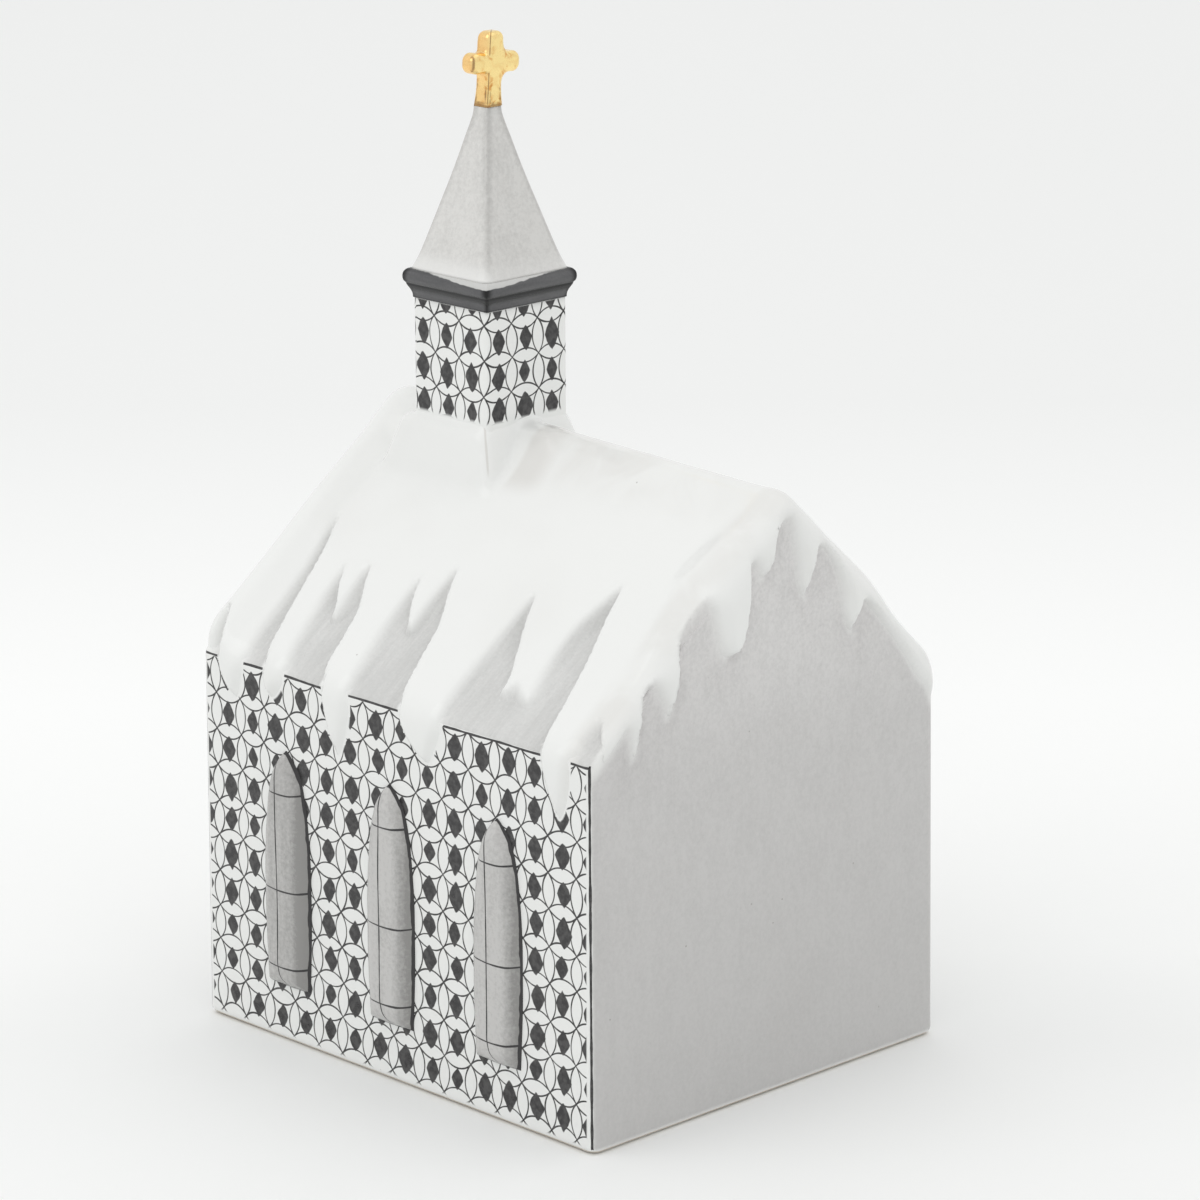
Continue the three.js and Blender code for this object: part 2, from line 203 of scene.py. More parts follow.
def axes_of(tree, where):
    return list(wires(tree, node(tree, "ShaderNodeSeparateXYZ", {0: where})).values())


def read(tree, name):
    """A value that rides on the points of a piece."""
    return wire(tree, "ShaderNodeAttribute", output="Fac", attribute_name=name)


def group(name, inputs, outputs):
    tree = bpy.data.node_groups.new(name, "ShaderNodeTree")
    for label, kind, value in inputs:
        socket = tree.interface.new_socket(label, in_out="INPUT", socket_type=kind)
        if value is not None:
            socket.default_value = value
    for label, kind in outputs:
        tree.interface.new_socket(label, in_out="OUTPUT", socket_type=kind)
    return tree, wires(tree, tree.nodes.new("NodeGroupInput")), tree.nodes.new("NodeGroupOutput").inputs


def placed(tree, made, inputs):
    """A node group in a material, with its own values."""
    used = node(tree, "ShaderNodeGroup", node_tree=made)
    for key, value in inputs.items():
        feed(tree, used.inputs[key], value)
    return list(wires(tree, used).values())


def new_material(name):
    """A material, its tree, the inputs of its shader, and the place on the piece."""
    made = bpy.data.materials.new(name)
    made.use_nodes = True
    tree = made.node_tree
    return made, tree, tree.nodes["Principled BSDF"].inputs, wire(tree, "ShaderNodeTexCoord", output="Object")


def bump(tree, height):
    return wire(tree, "ShaderNodeBump", {"Height": height, "Strength": 1.0, "Distance": 1.0})


def linear(*srgb):
    """A colour read off a colour picker, 0 to 255, as the linear light that shaders work in."""
    shares = [c / 255 for c in srgb]
    return (*(c / 12.92 if c <= 0.04045 else ((c + 0.055) / 1.055) ** 2.4 for c in shares), 1.0)


# %% [markdown]
# ## Shared finishes
#
# Glaze is a skin of glass. It lies in slow waves, it is never quite smooth, and it has pinholes
# where gas came through in the kiln. A wash is thinned colour laid with a wide brush: it shows
# streaks along the stroke and settles a little darker in places. Both are used by several
# materials, so each is a node group that gives only values and masks.

# %% Glaze skin: height of its waves and a mask for its pinholes
glaze_skin, given, gives = group("glaze skin",
    [("Place", "NodeSocketVector", None),
     ("Waves", "NodeSocketFloat", 0.03),
     ("Pinholes", "NodeSocketFloat", 0.06)],
    [("Height", "NodeSocketFloat"), ("Pinhole", "NodeSocketFloat")])
waves = noise(glaze_skin, given["Place"], 110.0, 1.0)
fine = noise(glaze_skin, given["Place"], 900.0, 2.0)
pores = {"Vector": given["Place"], "Scale": 260.0, "Randomness": 1.0}
cells = wires(glaze_skin, node(glaze_skin, "ShaderNodeTexVoronoi", pores))
lot = wire(glaze_skin, "ShaderNodeSeparateColor", {0: cells["Color"]})
chosen = calc(glaze_skin, "LESS_THAN", lot, given["Pinholes"])
hole = ramp(glaze_skin, cells["Distance"], 0.02, 0.055, 1.0, 0.0) * chosen
swell = waves * (given["Waves"] * MM)
grain = fine * (0.0012 * MM)
height = swell + grain - hole * (0.03 * MM)
link(height, gives["Height"])
link(hole, gives["Pinhole"])
print("glaze skin:", len(glaze_skin.nodes), "nodes")

# %% Brushed wash: tone between 0 and 1, streaked along one direction
brushed_wash, given, gives = group("brushed wash",
    [("Place", "NodeSocketVector", None), ("Stretch", "NodeSocketVector", (700.0, 700.0, 40.0))],
    [("Tone", "NodeSocketFloat")])
streak_place = wire(brushed_wash, "ShaderNodeVectorMath", {0: given["Place"], 1: given["Stretch"]},
                    operation="MULTIPLY")
streaks = noise(brushed_wash, streak_place, 1.0, 3.0, Roughness=0.6)
clouds = noise(brushed_wash, given["Place"], 70.0, 2.0)
grit = noise(brushed_wash, given["Place"], 2600.0, 1.0)
tone = streaks * 0.45 + (clouds * 0.35 + grit * 0.2)
link(ramp(brushed_wash, tone, 0.25, 0.75), gives["Tone"])


def wash_tone(tree, where, stretch):
    return placed(tree, brushed_wash, {"Place": where, "Stretch": stretch})[0]


def gritty(tree, where, amount):
    """Fine grit of the pigment, as much above zero as below."""
    return (noise(tree, where, 1500.0, 3.0, Roughness=0.7) - 0.5) * amount


print("brushed wash:", len(brushed_wash.nodes), "nodes")

# %% Pen line: ink at a distance from the middle of a stroke, with an uneven hand
pen_line, given, gives = group("pen line",
    [("Place", "NodeSocketVector", None),
     ("Distance", "NodeSocketFloat", 0.0),
     ("Width", "NodeSocketFloat", 0.25 * MM)],
    [("Ink", "NodeSocketFloat")])
hand = noise(pen_line, given["Place"], 320.0, 2.0)
half = given["Width"] * ramp(pen_line, hand, 0.25, 0.75, 0.4, 0.66)
edge = abs(given["Distance"]) - half
link(ramp(pen_line, edge, -0.03 * MM, 0.03 * MM, 1.0, 0.0), gives["Ink"])


def pen_ink(tree, where, distance, width):
    return placed(tree, pen_line, {"Place": where, "Distance": distance, "Width": width})[0]


print("pen line:", len(pen_line.nodes), "nodes")

# %% [markdown]
# ## The net on the walls
#
# The walls and the tower carry a net drawn with a fine pen, with a solid mark in each mesh. This
# one is the old pattern of interlaced circles. Circles round the points of a square grid cross
# halfway between them, so that in one cell only the two circles of the neighbouring corners
# have to be drawn. A noise pushes the grid about a little, and each mark gets its own nudge, as a
# hand would give it.

# %% Circle net as a node group
circle_net, given, gives = group("circle net",
    [("Place", "NodeSocketVector", None),
     ("Pitch", "NodeSocketFloat", 5.6 * MM),
     ("Line", "NodeSocketFloat", 0.23 * MM),
     ("Mark Width", "NodeSocketFloat", 2.85 * MM),
     ("Mark Height", "NodeSocketFloat", 4.1 * MM)],
    [("Ink", "NodeSocketFloat")])
tree = circle_net
sway = {"Vector": given["Place"], "Scale": 75.0, "Detail": 1.0}
drift = wire(tree, "ShaderNodeTexNoise", sway, output="Color")
drift = wire(tree, "ShaderNodeVectorMath", {0: drift, 1: (0.5, 0.5, 0.5)}, operation="SUBTRACT")
drift = wire(tree, "ShaderNodeVectorMath", {0: drift, "Scale": 1.5 * MM}, operation="SCALE")
drawn = wire(tree, "ShaderNodeVectorMath", {0: given["Place"], 1: drift}, operation="ADD")
cell = [axis / given["Pitch"] for axis in axes_of(tree, drawn)[:2]]
near = [0.5 - abs(calc(tree, "FRACT", c) - 0.5) for c in cell]
far = [1.0 - n for n in near]


def radius(a, b):
    return calc(tree, "SQRT", a * a + b * b)


arcs = [abs(radius(a, b) - math.sqrt(0.5)) for a, b in ((far[0], near[1]), (near[0], far[1]))]
from_arc = calc(tree, "MINIMUM", *arcs) * given["Pitch"]
line_ink = pen_ink(tree, given["Place"], from_arc, given["Line"])

number = [calc(tree, "FLOOR", c + 0.5) for c in cell]
own = wire(tree, "ShaderNodeTexWhiteNoise", {0: joined(tree, number[0], number[1], 0.0)},
           output="Color", noise_dimensions="3D")
own = list(wires(tree, node(tree, "ShaderNodeSeparateColor", {0: own})).values())
sides = []
for i, size in ((0, "Mark Width"), (1, "Mark Height")):
    nudge = (own[i] - 0.5) * 0.09
    offset = cell[i] - number[i] + nudge
    reach = given[size] * (0.42 + own[2] * 0.16)
    share = abs(offset) * given["Pitch"] / reach
    sides.append(share ** 1.22)
wobble = noise(tree, given["Place"], 700.0, 1.0)
mark = calc(tree, "ADD", *sides) + (wobble - 0.5) * 0.4
mark_ink = ramp(tree, mark, 0.94, 1.06, 1.0, 0.0)
link(larger(tree, line_ink, mark_ink), gives["Ink"])
print("finish groups:", [g.name for g in bpy.data.node_groups])

# %% [markdown]
# ## Pieces from arrays
#
# Most shapes below are worked out as arrays of points in millimetres. One helper turns points and
# faces into a Blender mesh in metres, shades it smoothly and lets values ride on the points. The
# values are read by the materials through Attribute nodes.

# %% Make a mesh piece from points and faces
def piece_from(name, points, faces, materials, values=None, face_material=None):
    mesh = bpy.data.meshes.new(name)
    sides = faces.tolist() if isinstance(faces, np.ndarray) else faces
    mesh.from_pydata((np.asarray(points) * MM).tolist(), [], sides)
    for label, data in (values or {}).items():
        mesh.attributes.new(label, "FLOAT", "POINT").data.foreach_set("value", np.asarray(data, np.float32))
    for material in materials:
        mesh.materials.append(material)
    if face_material is not None:
        mesh.polygons.foreach_set("material_index", np.asarray(face_material, np.int32))
    mesh.shade_smooth()
    mesh.validate()
    mesh.update()
    made = bpy.data.objects.new(name, mesh)
    bpy.context.scene.collection.objects.link(made)
    mesh.calc_loop_triangles()
    print(f"{name}: {len(mesh.loop_triangles)} triangles")
    return made


def stands_for(made, node_name):
    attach(made, "root")
    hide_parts(node_name)


# %% [markdown]
# ## The house form in numbers
#
# All surfaces of the house follow from a few sizes, the same as in the CAD part. The walls lean in
# slightly, so that the cast leaves its mould. The ridge was modelled off the middle, so that the
# two slopes differ.

# %% Sizes of the house, in millimetres
wall_length, wall_width, wall_height = 85.2, 71.6, 58.0
ridge_height, ridge_shift, draft, shell = 87.8, 4.4, 0.0063, 3.4
tower_x, tower_half, tower_top = -20.5, 8.2, 109.3
eave_y = wall_width / 2 - draft * wall_height
roof_rise = ridge_height - wall_height


def gable_x(z):
    return wall_length / 2 - draft * z


def side_y(z):
    return wall_width / 2 - draft * z


def run_of(side):
    return eave_y - side * ridge_shift


def roof_line(y):
    """Height of the bare roof over y."""
    left, right = (y + eave_y) / (ridge_shift + eave_y), (eave_y - y) / (eave_y - ridge_shift)
    return wall_height + np.where(y < ridge_shift, left, right) * roof_rise


def upslope(y, z, side):
    """How far up a slope a point lies, from the eave, and how far above the bare roof."""
    run, length = run_of(side), math.hypot(run_of(side), roof_rise)
    inward, rise = eave_y - side * y, z - wall_height
    return (inward * run + rise * roof_rise) / length, (rise * run - inward * roof_rise) / length


print("slopes:", [round(math.degrees(math.atan2(roof_rise, run_of(s))), 1) for s in (-1, 1)], "degrees")

# %% [markdown]
# ## Where the snow ends
#
# The modeller cut tongues of bare roof out of the snow with a loop tool. On one side of a tongue the
# cut is crisp, on the other the slip was smeared flat. So an outline is a list of points with a
# third number, its softness: 0 for a crisp side, 1 for a smeared one. The roof is set out unrolled:
# x along the ridge, then the distance up the slope. The gable is set out from its apex: across, and
# down from the bare roof line. The long wall is simply x and z.

# %% Outlines of the bare roof, gable and wall
bare_roof = [
    [(-41.5, -4, .6), (-41.5, 2.6, .6), (-41.5, 5.4, .6), (-41.7, 8.6, .4), (-40.5, 5.4, 0),
     (-39.3, 2.3, 0), (-38.9, -4, 0)],
    [(-32.7, -4, 1), (-32.9, 1.8, 1), (-33.6, 5.1, 1), (-33.9, 11.8, 1), (-34.3, 19.2, 1),
     (-35, 25.1, 1), (-35.4, 28.8, .5), (-35.4, 25.9, 0), (-34.2, 22.3, 0), (-33.1, 15.7, 0),
     (-31.8, 9.2, 0), (-30.2, 3.3, 0), (-28.6, -4, 0)],
    [(-23.2, -4, 1), (-23.6, 1, 1), (-25, 4.6, 1), (-25.8, 9.2, 1), (-26.8, 15.7, 1),
     (-27.2, 21.2, .5), (-26.6, 17.3, 0), (-24.3, 14.2, 0), (-22.3, 11.4, .5), (-22.3, 15, 1),
     (-22.6, 19.2, 1), (-22.6, 22.2, .5), (-21.8, 18.5, 0), (-19.2, 14, 0), (-18.1, 8.2, 0),
     (-17.4, 4, 0), (-15.2, -4, 0)],
    [(-9.1, -4, 1), (-9.6, 1, 1), (-10.3, 5.5, 1), (-11.3, 11.8, 1), (-11.4, 17.2, 1),
     (-11.6, 22.6, .5), (-11.2, 18.8, 0), (-9.3, 15.6, 0), (-6.9, 12.9, .5), (-6.4, 17.3, 1),
     (-6.1, 21, 1), (-6.2, 25.8, .5), (-5.5, 21.4, 0), (-2.5, 15.3, 0), (-1.5, 9.6, 0), (-.3, 4.6, 0),
     (1.5, -4, 0)],
    [(11.4, -4, 1), (10.3, 2.1, 1), (9.9, 6.2, 1), (10.4, 11.6, 1), (11, 18.3, 1), (11.2, 24.8, .5),
     (12.1, 20, 0), (15.1, 13.6, 0), (16.9, 9.8, 0), (17.9, 7.2, .5), (19.5, 9.6, .8), (23.5, 6.9, .5),
     (23.2, 11, 1), (22.5, 15.3, 1), (22.9, 20.7, 1), (24.7, 25.9, 1), (25.4, 29.6, .5), (26, 23, 0),
     (27.8, 16.8, 0), (29.3, 9.1, 0), (30.4, 3, 0), (31.3, -4, 0)],
    [(37.7, -4, 1), (38.3, 1, 1), (37.8, 4, 1), (38, 8.2, .5), (40, 4.7, 0), (41.5, 1.7, 0),
     (42.6, -4, 0)],
]
bare_wall = [
    [(-60, 20, 0), (-60, 66, 0), (-39.1, 66, 0), (-39.1, 58, 0), (-38, 54.9, 0), (-36.2, 52.6, 0),
     (-34.6, 51.6, .3), (-33.8, 53.2, 1), (-33.2, 55.4, 1), (-32.7, 58, 1), (-32.7, 66, 1),
     (-28.6, 66, 0), (-28.6, 58, 0), (-28.3, 56, 0), (-27.6, 54.4, 0), (-26.6, 53.4, .4),
     (-25.2, 54.2, 1), (-24, 55.7, 1), (-23.3, 58, 1), (-23.3, 66, 1), (-15.2, 66, 0), (-15.3, 58, 0),
     (-15, 55.5, 0), (-14, 52.1, 0), (-12.5, 48.8, 0), (-11.8, 47.4, .4), (-10.7, 48.7, 1),
     (-9.7, 51, 1), (-8.9, 54.2, 1), (-9.1, 58, 1), (-9.1, 66, 1), (1.5, 66, 0), (1.5, 58, 0),
     (2.3, 55.6, 0), (3.9, 53.4, 0), (6.3, 51.5, 0), (7.9, 50.6, .4), (9.1, 52, 1), (10.2, 54.3, 1),
     (11, 56, 1), (11.3, 58, 1), (11.3, 66, 1), (31.3, 66, 0), (31.3, 57.5, 0), (32.2, 55, 0),
     (33.2, 52.3, 0), (34.5, 49.7, 0), (35.4, 48.5, .4), (36.5, 49.6, 1), (37.3, 51.7, 1),
     (37.8, 54.3, 1), (37.8, 58, 1), (37.8, 66, 1), (60, 66, 0), (60, 20, 0)],
]
gable_edge = [
    (-33, 58, 1), (-30.6, 60.1, 1), (-28.2, 62.3, .7), (-27.4, 60.8, 1), (-26.7, 57.2, .4),
    (-25.6, 60.7, 0), (-25.1, 64.1, 0), (-24.1, 67, 0), (-22.6, 68, .5), (-22, 67, 1),
    (-20.6, 64.6, 1), (-19.6, 62.1, .4), (-18.8, 64.1, 0), (-18, 67.8, 0), (-17.7, 70.9, 0),
    (-16.8, 73.3, 0), (-14.8, 76, .5), (-11.8, 78.4, .8), (-10.9, 75.6, 1), (-10.2, 72.6, 1),
    (-9.3, 69.8, .8), (-7.6, 68.5, .3), (-6.2, 69, 0), (-5, 71, 0), (-4.1, 74, 0), (-3.6, 78.4, 0),
    (-3.4, 81.6, .4), (-2.6, 81.6, 1), (-1.7, 80.2, 1), (-.8, 78.8, .4), (1, 80.8, 0), (2, 84.6, 0),
    (3.4, 86.8, .4), (4.9, 85.8, 1), (6, 80.4, 1), (6.4, 76, 1), (7.5, 73.6, .4), (9.2, 76.6, 0),
    (10.2, 80.2, 0), (11.5, 81, .6), (13.5, 78.6, 1), (15.3, 74.4, 1), (16.1, 69.6, 1),
    (17.3, 66.5, .4), (19.2, 69, 0), (20.3, 71.2, .4), (24.4, 66.9, 1), (28.5, 61.8, 1),
    (31.5, 57.2, 1),
]
left_end = [(-50, 70, 0), (-50, 2.2, 1), (-40, 2.2, 1)]
right_end = [(29, 4.2, 1), (30.6, 6.6, 1), (32.5, 7.2, 1), (35, 4.5, 1), (38, 2.8, 1), (50, 2.4, 1),
             (50, 70, 0)]
set_out = [(y - ridge_shift, float(roof_line(y)) - z, soft) for y, z, soft in gable_edge]
bare_gable = [left_end + set_out + right_end]


def undercut(ring, across, up):
    """A crisp side stands as high as the snow, so in the picture it hides a strip of what lies behind it.
    The traced crisp sides are moved back by that strip."""
    return [(a + across * (1 - soft), b + up * (1 - soft), soft) for a, b, soft in ring]


bare_roof = [undercut(ring, 1.45, -0.65) for ring in bare_roof]
bare_wall = [undercut(ring, 0.6, 0.25) for ring in bare_wall]
bare_gable = [undercut(ring, -0.7, -0.2) for ring in bare_gable]


def eased(ring, rounds=2):
    """Corner cutting: each round replaces a corner by two points nearer to it."""
    ring = np.array(ring, float)
    for _ in range(rounds):
        after = np.roll(ring, -1, 0)
        ring = np.stack([0.8 * ring + 0.2 * after, 0.2 * ring + 0.8 * after], 1).reshape(-1, 3)
    return ring


outlines = (bare_roof, bare_wall, bare_gable)
bare_roof, bare_wall, bare_gable = ([eased(ring) for ring in rings] for rings in outlines)
print("outline points:", sum(len(ring) for rings in (bare_roof, bare_wall, bare_gable) for ring in rings))

# %% [markdown]
# ## Charts
#
# How deep the snow lies depends on how far a point is from the outline, counted in widths of the soft
# edge there. Measuring that against hundreds of outline segments is slow, so it is done once on
# a fine grid, a chart, and then read off by bilinear interpolation wherever it is wanted.

# %% Distances to an outline, drawn once on a chart
class Chart:
    def __init__(self, rings, low, high, soft, crisp, step=0.2):
        self.low, self.step = low, step
        p, q = np.meshgrid(np.arange(low[0], high[0], step), np.arange(low[1], high[1], step), indexing="ij")
        widths = np.full(p.shape, 9.0)
        near = {"soft": np.full(p.shape, 30.0), "crisp": np.full(p.shape, 30.0)}
        bare = np.zeros(p.shape, bool)
        for ring in rings:
            for (x0, y0, w0), (x1, y1, w1) in zip(ring, np.roll(ring, -1, 0)):
                dx, dy = x1 - x0, y1 - y0
                t = np.clip(((p - x0) * dx + (q - y0) * dy) / max(dx * dx + dy * dy, 1e-9), 0, 1)
                away = np.hypot(p - x0 - t * dx, q - y0 - t * dy)
                widths = np.minimum(widths, away / (crisp + (soft - crisp) * (w0 + t * (w1 - w0))))
                kind = "soft" if w0 + w1 > 1 else "crisp"
                near[kind] = np.minimum(near[kind], away)
                if abs(dy) > 1e-9:
                    bare ^= ((y0 > q) != (y1 > q)) & (p < x0 + (q - y0) * dx / dy)
        sign = np.where(bare, -1, 1)
        # counted from the outline: widths of edge, then millimetres from smeared and crisp sides
        self.sheets = np.stack([widths * sign, near["soft"] * sign, near["crisp"] * sign])

    def read(self, p, q, sheet=0):
        data = self.sheets[sheet]
        u = np.clip((p - self.low[0]) / self.step, 0, data.shape[0] - 1.001)
        v = np.clip((q - self.low[1]) / self.step, 0, data.shape[1] - 1.001)
        i, j = u.astype(np.int32), v.astype(np.int32)
        u, v = u - i, v - j
        return ((1 - u) * (1 - v) * data[i, j] + u * (1 - v) * data[i + 1, j]
                + (1 - u) * v * data[i, j + 1] + u * v * data[i + 1, j + 1])


roof_chart = Chart(bare_roof, (-46, -6), (46, 36), soft=3.6, crisp=0.6)
wall_chart = Chart(bare_wall, (-46, 42), (46, 64), soft=2.6, crisp=0.75)
gable_chart = Chart(bare_gable, (-42, -8), (42, 22), soft=3.4, crisp=0.7)
print("charts:", roof_chart.sheets.shape, wall_chart.sheets.shape, gable_chart.sheets.shape)

# %% [markdown]
# ## The snow as a field
#
# A field gives every point in space a number, below zero inside the snow. Each face of the house is
# pushed out by the depth of the snow on it, and the snow is the space behind all pushed-out faces.
# A smooth maximum joins them, so that every edge comes out round, as thick slip does. Where the
# depth is below zero, the face dips under the house, and the roof shows.

# %% Depth of the snow on each face
drip_depth, verge_depth, sunk = 0.85, 1.45, 0.3
drift_top, drift_cap, drift_foot = 91.4, 91.35, 72
bank_top, bank_foot = 91.0, 78
lowest_snow = 46.7


def step01(value, low, high):
    t = np.clip((value - low) / (high - low), 0, 1)
    return t * t * (3 - 2 * t)


def cut_back(depth, widths, floor, brim):
    """The depth of the snow near an outline: all gone at the floor, whole at the brim, both counted
    in widths. On the roof the slope lies inside the outline, so a narrow tip stays shallow."""
    cover = 0.5 - 0.5 * np.cos(np.pi * np.clip((widths - floor) / (brim - floor), 0, 1))
    return (depth + sunk) * cover - sunk


def roof_depth(x, s, side):
    share = s / math.hypot(run_of(side), roof_rise)
    blanket = 1.15 + 1.0 * step01(share, 0.12, 0.7) + (0.1 + 0.026 * (37 - x)) * step01(share, 0.84, 1.0)
    far_verge = 1.7 * step01(-x, 34, 39.5) * step01(s, -4, 3) * (1 - step01(share, 0.84, 1))
    near_roll = np.interp(s, [0, 8, 14, 20, 26, 32, 44], [40.5, 41, 41, 40, 38.2, 37.2, 39])
    near_verge = 0.8 * np.exp(-((x - near_roll) / 2.6) ** 2) * step01(s, 10, 22)
    rim = far_verge + near_verge * (1 - 0.8 * step01(share, 0.72, 1))
    return cut_back(blanket + rim, roof_chart.read(-side * x, s), -1.0, 0.3)


def wall_depth(x, z, side):
    corner = (side > 0) * step01(x, 38.8, 41.5) * step01(z, 52, 55.5)
    return (1 - corner) * cut_back(drip_depth, wall_chart.read(-side * x, z), -0.4, 0.8) + corner * 0.5


def gable_depth(y, z, end):
    across, down = end * (y - ridge_shift), roof_line(y) - z
    thin = 1 - 0.6 * step01(np.abs(y), 0.55 * eave_y, eave_y)
    return cut_back(verge_depth * thin, gable_chart.read(across, down), -0.5, 0.7)


depths = roof_depth(np.zeros(3), np.array([10.0, 25.0, 45.0]), -1)
print("snow at 10, 25 and 45 mm up the slope, mm deep:", depths.round(2))

# %% Join the faces into one field
def smooth_max(a, b, reach):
    overlap = np.maximum(1 - np.abs(a - b) / reach, 0)
    return np.maximum(a, b) + overlap * overlap * reach / 4


def smooth_min(a, b, reach):
    return -smooth_max(-a, -b, reach)


def block(x, y, z, cx, cy, half_x, half_y, top, slope_x, slope_y, corner):
    """An upright block with round corners and sloping sides, for the tower and the drift round it."""
    down = np.maximum(top - z, 0)
    qx = np.abs(x - cx) - half_x - slope_x * down + corner
    qy = np.abs(y - cy) - half_y - slope_y * down + corner
    return np.hypot(np.maximum(qx, 0), np.maximum(qy, 0)) + np.minimum(np.maximum(qx, qy), 0) - corner


def snow_field(x, y, z):
    faces = []
    for side in (-1, 1):
        s, above = upslope(y, z, side)
        faces.append(above - roof_depth(x, s, side))
    snow = smooth_max(*faces, 2.6)
    for side in (-1, 1):
        out = side * y - side_y(z)
        depth = wall_depth(x, z, side)
        snow = smooth_max(snow, out - depth, 2.6)
    for end in (-1, 1):
        depth = gable_depth(y, z, end)
        snow = smooth_max(snow, end * x - gable_x(z) - depth, 1.6 + 2.4 * np.clip(depth, 0, 1.5))
    drift = block(x, y, z, tower_x - 1.3, ridge_shift, 9.3, 9.0, drift_top, 0.36, 0.24, 1.6)
    drift = np.maximum(smooth_max(drift, z - drift_cap, 1.4), drift_foot - z)
    tower = block(x, y, z, tower_x, ridge_shift, tower_half, tower_half, 200, 0, 0, 0.7)
    bank = block(x, y, z, -9, 4.0, 4.5, 2.2, bank_top, 0.8, 0.5, 1.5)
    bank = np.maximum(smooth_max(bank, z - bank_top, 1.0), bank_foot - z)
    snow = smooth_min(smooth_min(snow, drift, 1.0), bank, 0.8)
    snow = smooth_min(snow, np.maximum(tower + 0.35, z - 93), 1.5)
    slopes = [upslope(y, z, side)[1] for side in (-1, 1)]
    house = np.maximum.reduce([*slopes, np.abs(x) - gable_x(z), np.abs(y) - side_y(z)])
    return np.maximum(snow, -(house + 1.2)), np.maximum(snow, -(tower + 1.2))


def snow_solid(x, y, z):
    on_house, on_tower = snow_field(x, y, z)
    return np.maximum(np.maximum(on_house, on_tower), lowest_snow - z)


# %% [markdown]
# ## Skinning a field
#
# Surface nets is a short way to turn a field into a mesh. Space is cut into small cubes. Each
# cube that the surface passes through gets one point, at the mean of where its edges cross zero, and
# the four cubes round each crossed edge are joined by a quad. Afterwards the points are pulled
# onto the exact surface along the field's gradient, which takes out the last trace of the cubes.
# Blender's own Volume to Mesh does much the same, but it can't read a field made of arrays.

# %% Surface nets
def skin(field, low, high, step):
    low = np.array(low, float)
    axes = [np.arange(a, b + step, step) for a, b in zip(low, high)]
    slabs = [axes[0][i:i + 24] for i in range(0, len(axes[0]), 24)]
    value = np.concatenate([field(*np.meshgrid(slab, *axes[1:], indexing="ij")) for slab in slabs])
    inside = value < 0
    n0, n1, n2 = (n - 1 for n in value.shape)
    corner = np.array([(i, j, k) for i in (0, 1) for j in (0, 1) for k in (0, 1)])
    count = sum(inside[i:n0 + i, j:n1 + j, k:n2 + k].astype(np.int8) for i, j, k in corner)
    cubes = np.argwhere((count > 0) & (count < 8))
    index = np.full((n0, n1, n2), -1)
    index[tuple(cubes.T)] = np.arange(len(cubes))
    at = value[tuple((cubes[:, None] + corner).transpose(2, 0, 1))]
    total, hits = np.zeros((len(cubes), 3)), np.zeros(len(cubes))
    for a in range(8):
        for b in range(a + 1, 8):
            if np.abs(corner[a] - corner[b]).sum() != 1:
                continue
            crossed = (at[:, a] < 0) != (at[:, b] < 0)
            t = np.where(crossed, at[:, a] / np.where(crossed, at[:, a] - at[:, b], 1), 0)
            total += crossed[:, None] * (corner[a] + t[:, None] * (corner[b] - corner[a]))
            hits += crossed
    points = low + (cubes + total / hits[:, None]) * step
    quads = []
    for axis in range(3):
        u, v = np.eye(3, dtype=int)[(axis + 1) % 3], np.eye(3, dtype=int)[(axis + 2) % 3]
        first, second = (tuple(slice(*(cut if k == axis else (None, None))) for k in range(3))
                         for cut in ((None, -1), (1, None)))
        crossed = np.argwhere(inside[first] != inside[second])
        crossed = crossed[(crossed @ u > 0) & (crossed @ v > 0)]
        end_u, end_v = (n0, n1, n2)[(axis + 1) % 3], (n0, n1, n2)[(axis + 2) % 3]
        crossed = crossed[(crossed @ u < end_u) & (crossed @ v < end_v)]
        round_edge = ((1, 1), (0, 1), (0, 0), (1, 0))
        quad = np.stack([index[tuple((crossed - i * u - j * v).T)] for i, j in round_edge], 1)
        outward = inside[tuple(crossed.T)]
        quads.append(np.where(outward[:, None], quad, quad[:, ::-1]))
    return points, np.concatenate(quads)


def slope_of(field, points, reach):
    """Difference of the field across each point, along x, y and z."""
    return np.stack([field(*(points + reach * e).T) - field(*(points - reach * e).T) for e in np.eye(3)], 1)


def settled(points, field, rounds=3, reach=0.05, most=0.25):
    """Points pulled onto the zero surface of a field."""
    points = points.copy()
    for _ in range(rounds):
        value = field(*points.T)
        slope = slope_of(field, points, reach) / (2 * reach)
        move = -value[:, None] * slope / np.maximum((slope ** 2).sum(1), 0.05)[:, None]
        length = np.linalg.norm(move, axis=1, keepdims=True)
        points += move * np.minimum(1, most / np.maximum(length, 1e-9))
    return points


def calmed(points, quads, amount, rounds=3):
    """Points drawn toward the middle of their neighbours, by an amount given for each."""
    for _ in range(rounds):
        total, count = np.zeros_like(points), np.zeros(len(points))
        for i in range(4):
            np.add.at(total, quads[:, i], points[quads[:, i - 1]] + points[quads[:, (i + 1) % 4]])
            np.add.at(count, quads[:, i], 2)
        points = points + amount[:, None] * (total / count[:, None] - points)
    return points


# %% Skin the snow
snow_step = 0.61  # the finest that keeps the snow under 200,000 triangles
snow_points, snow_quads = skin(snow_solid, (-45, -38.5, 46), (45, 38.5, 95), snow_step)
snow_points = settled(snow_points, snow_solid)
snow_points = calmed(snow_points, snow_quads, 0.5 * step01(snow_points[:, 2], 80, 84))
print("snow box, mm:", snow_points.min(0).round(2), snow_points.max(0).round(2))

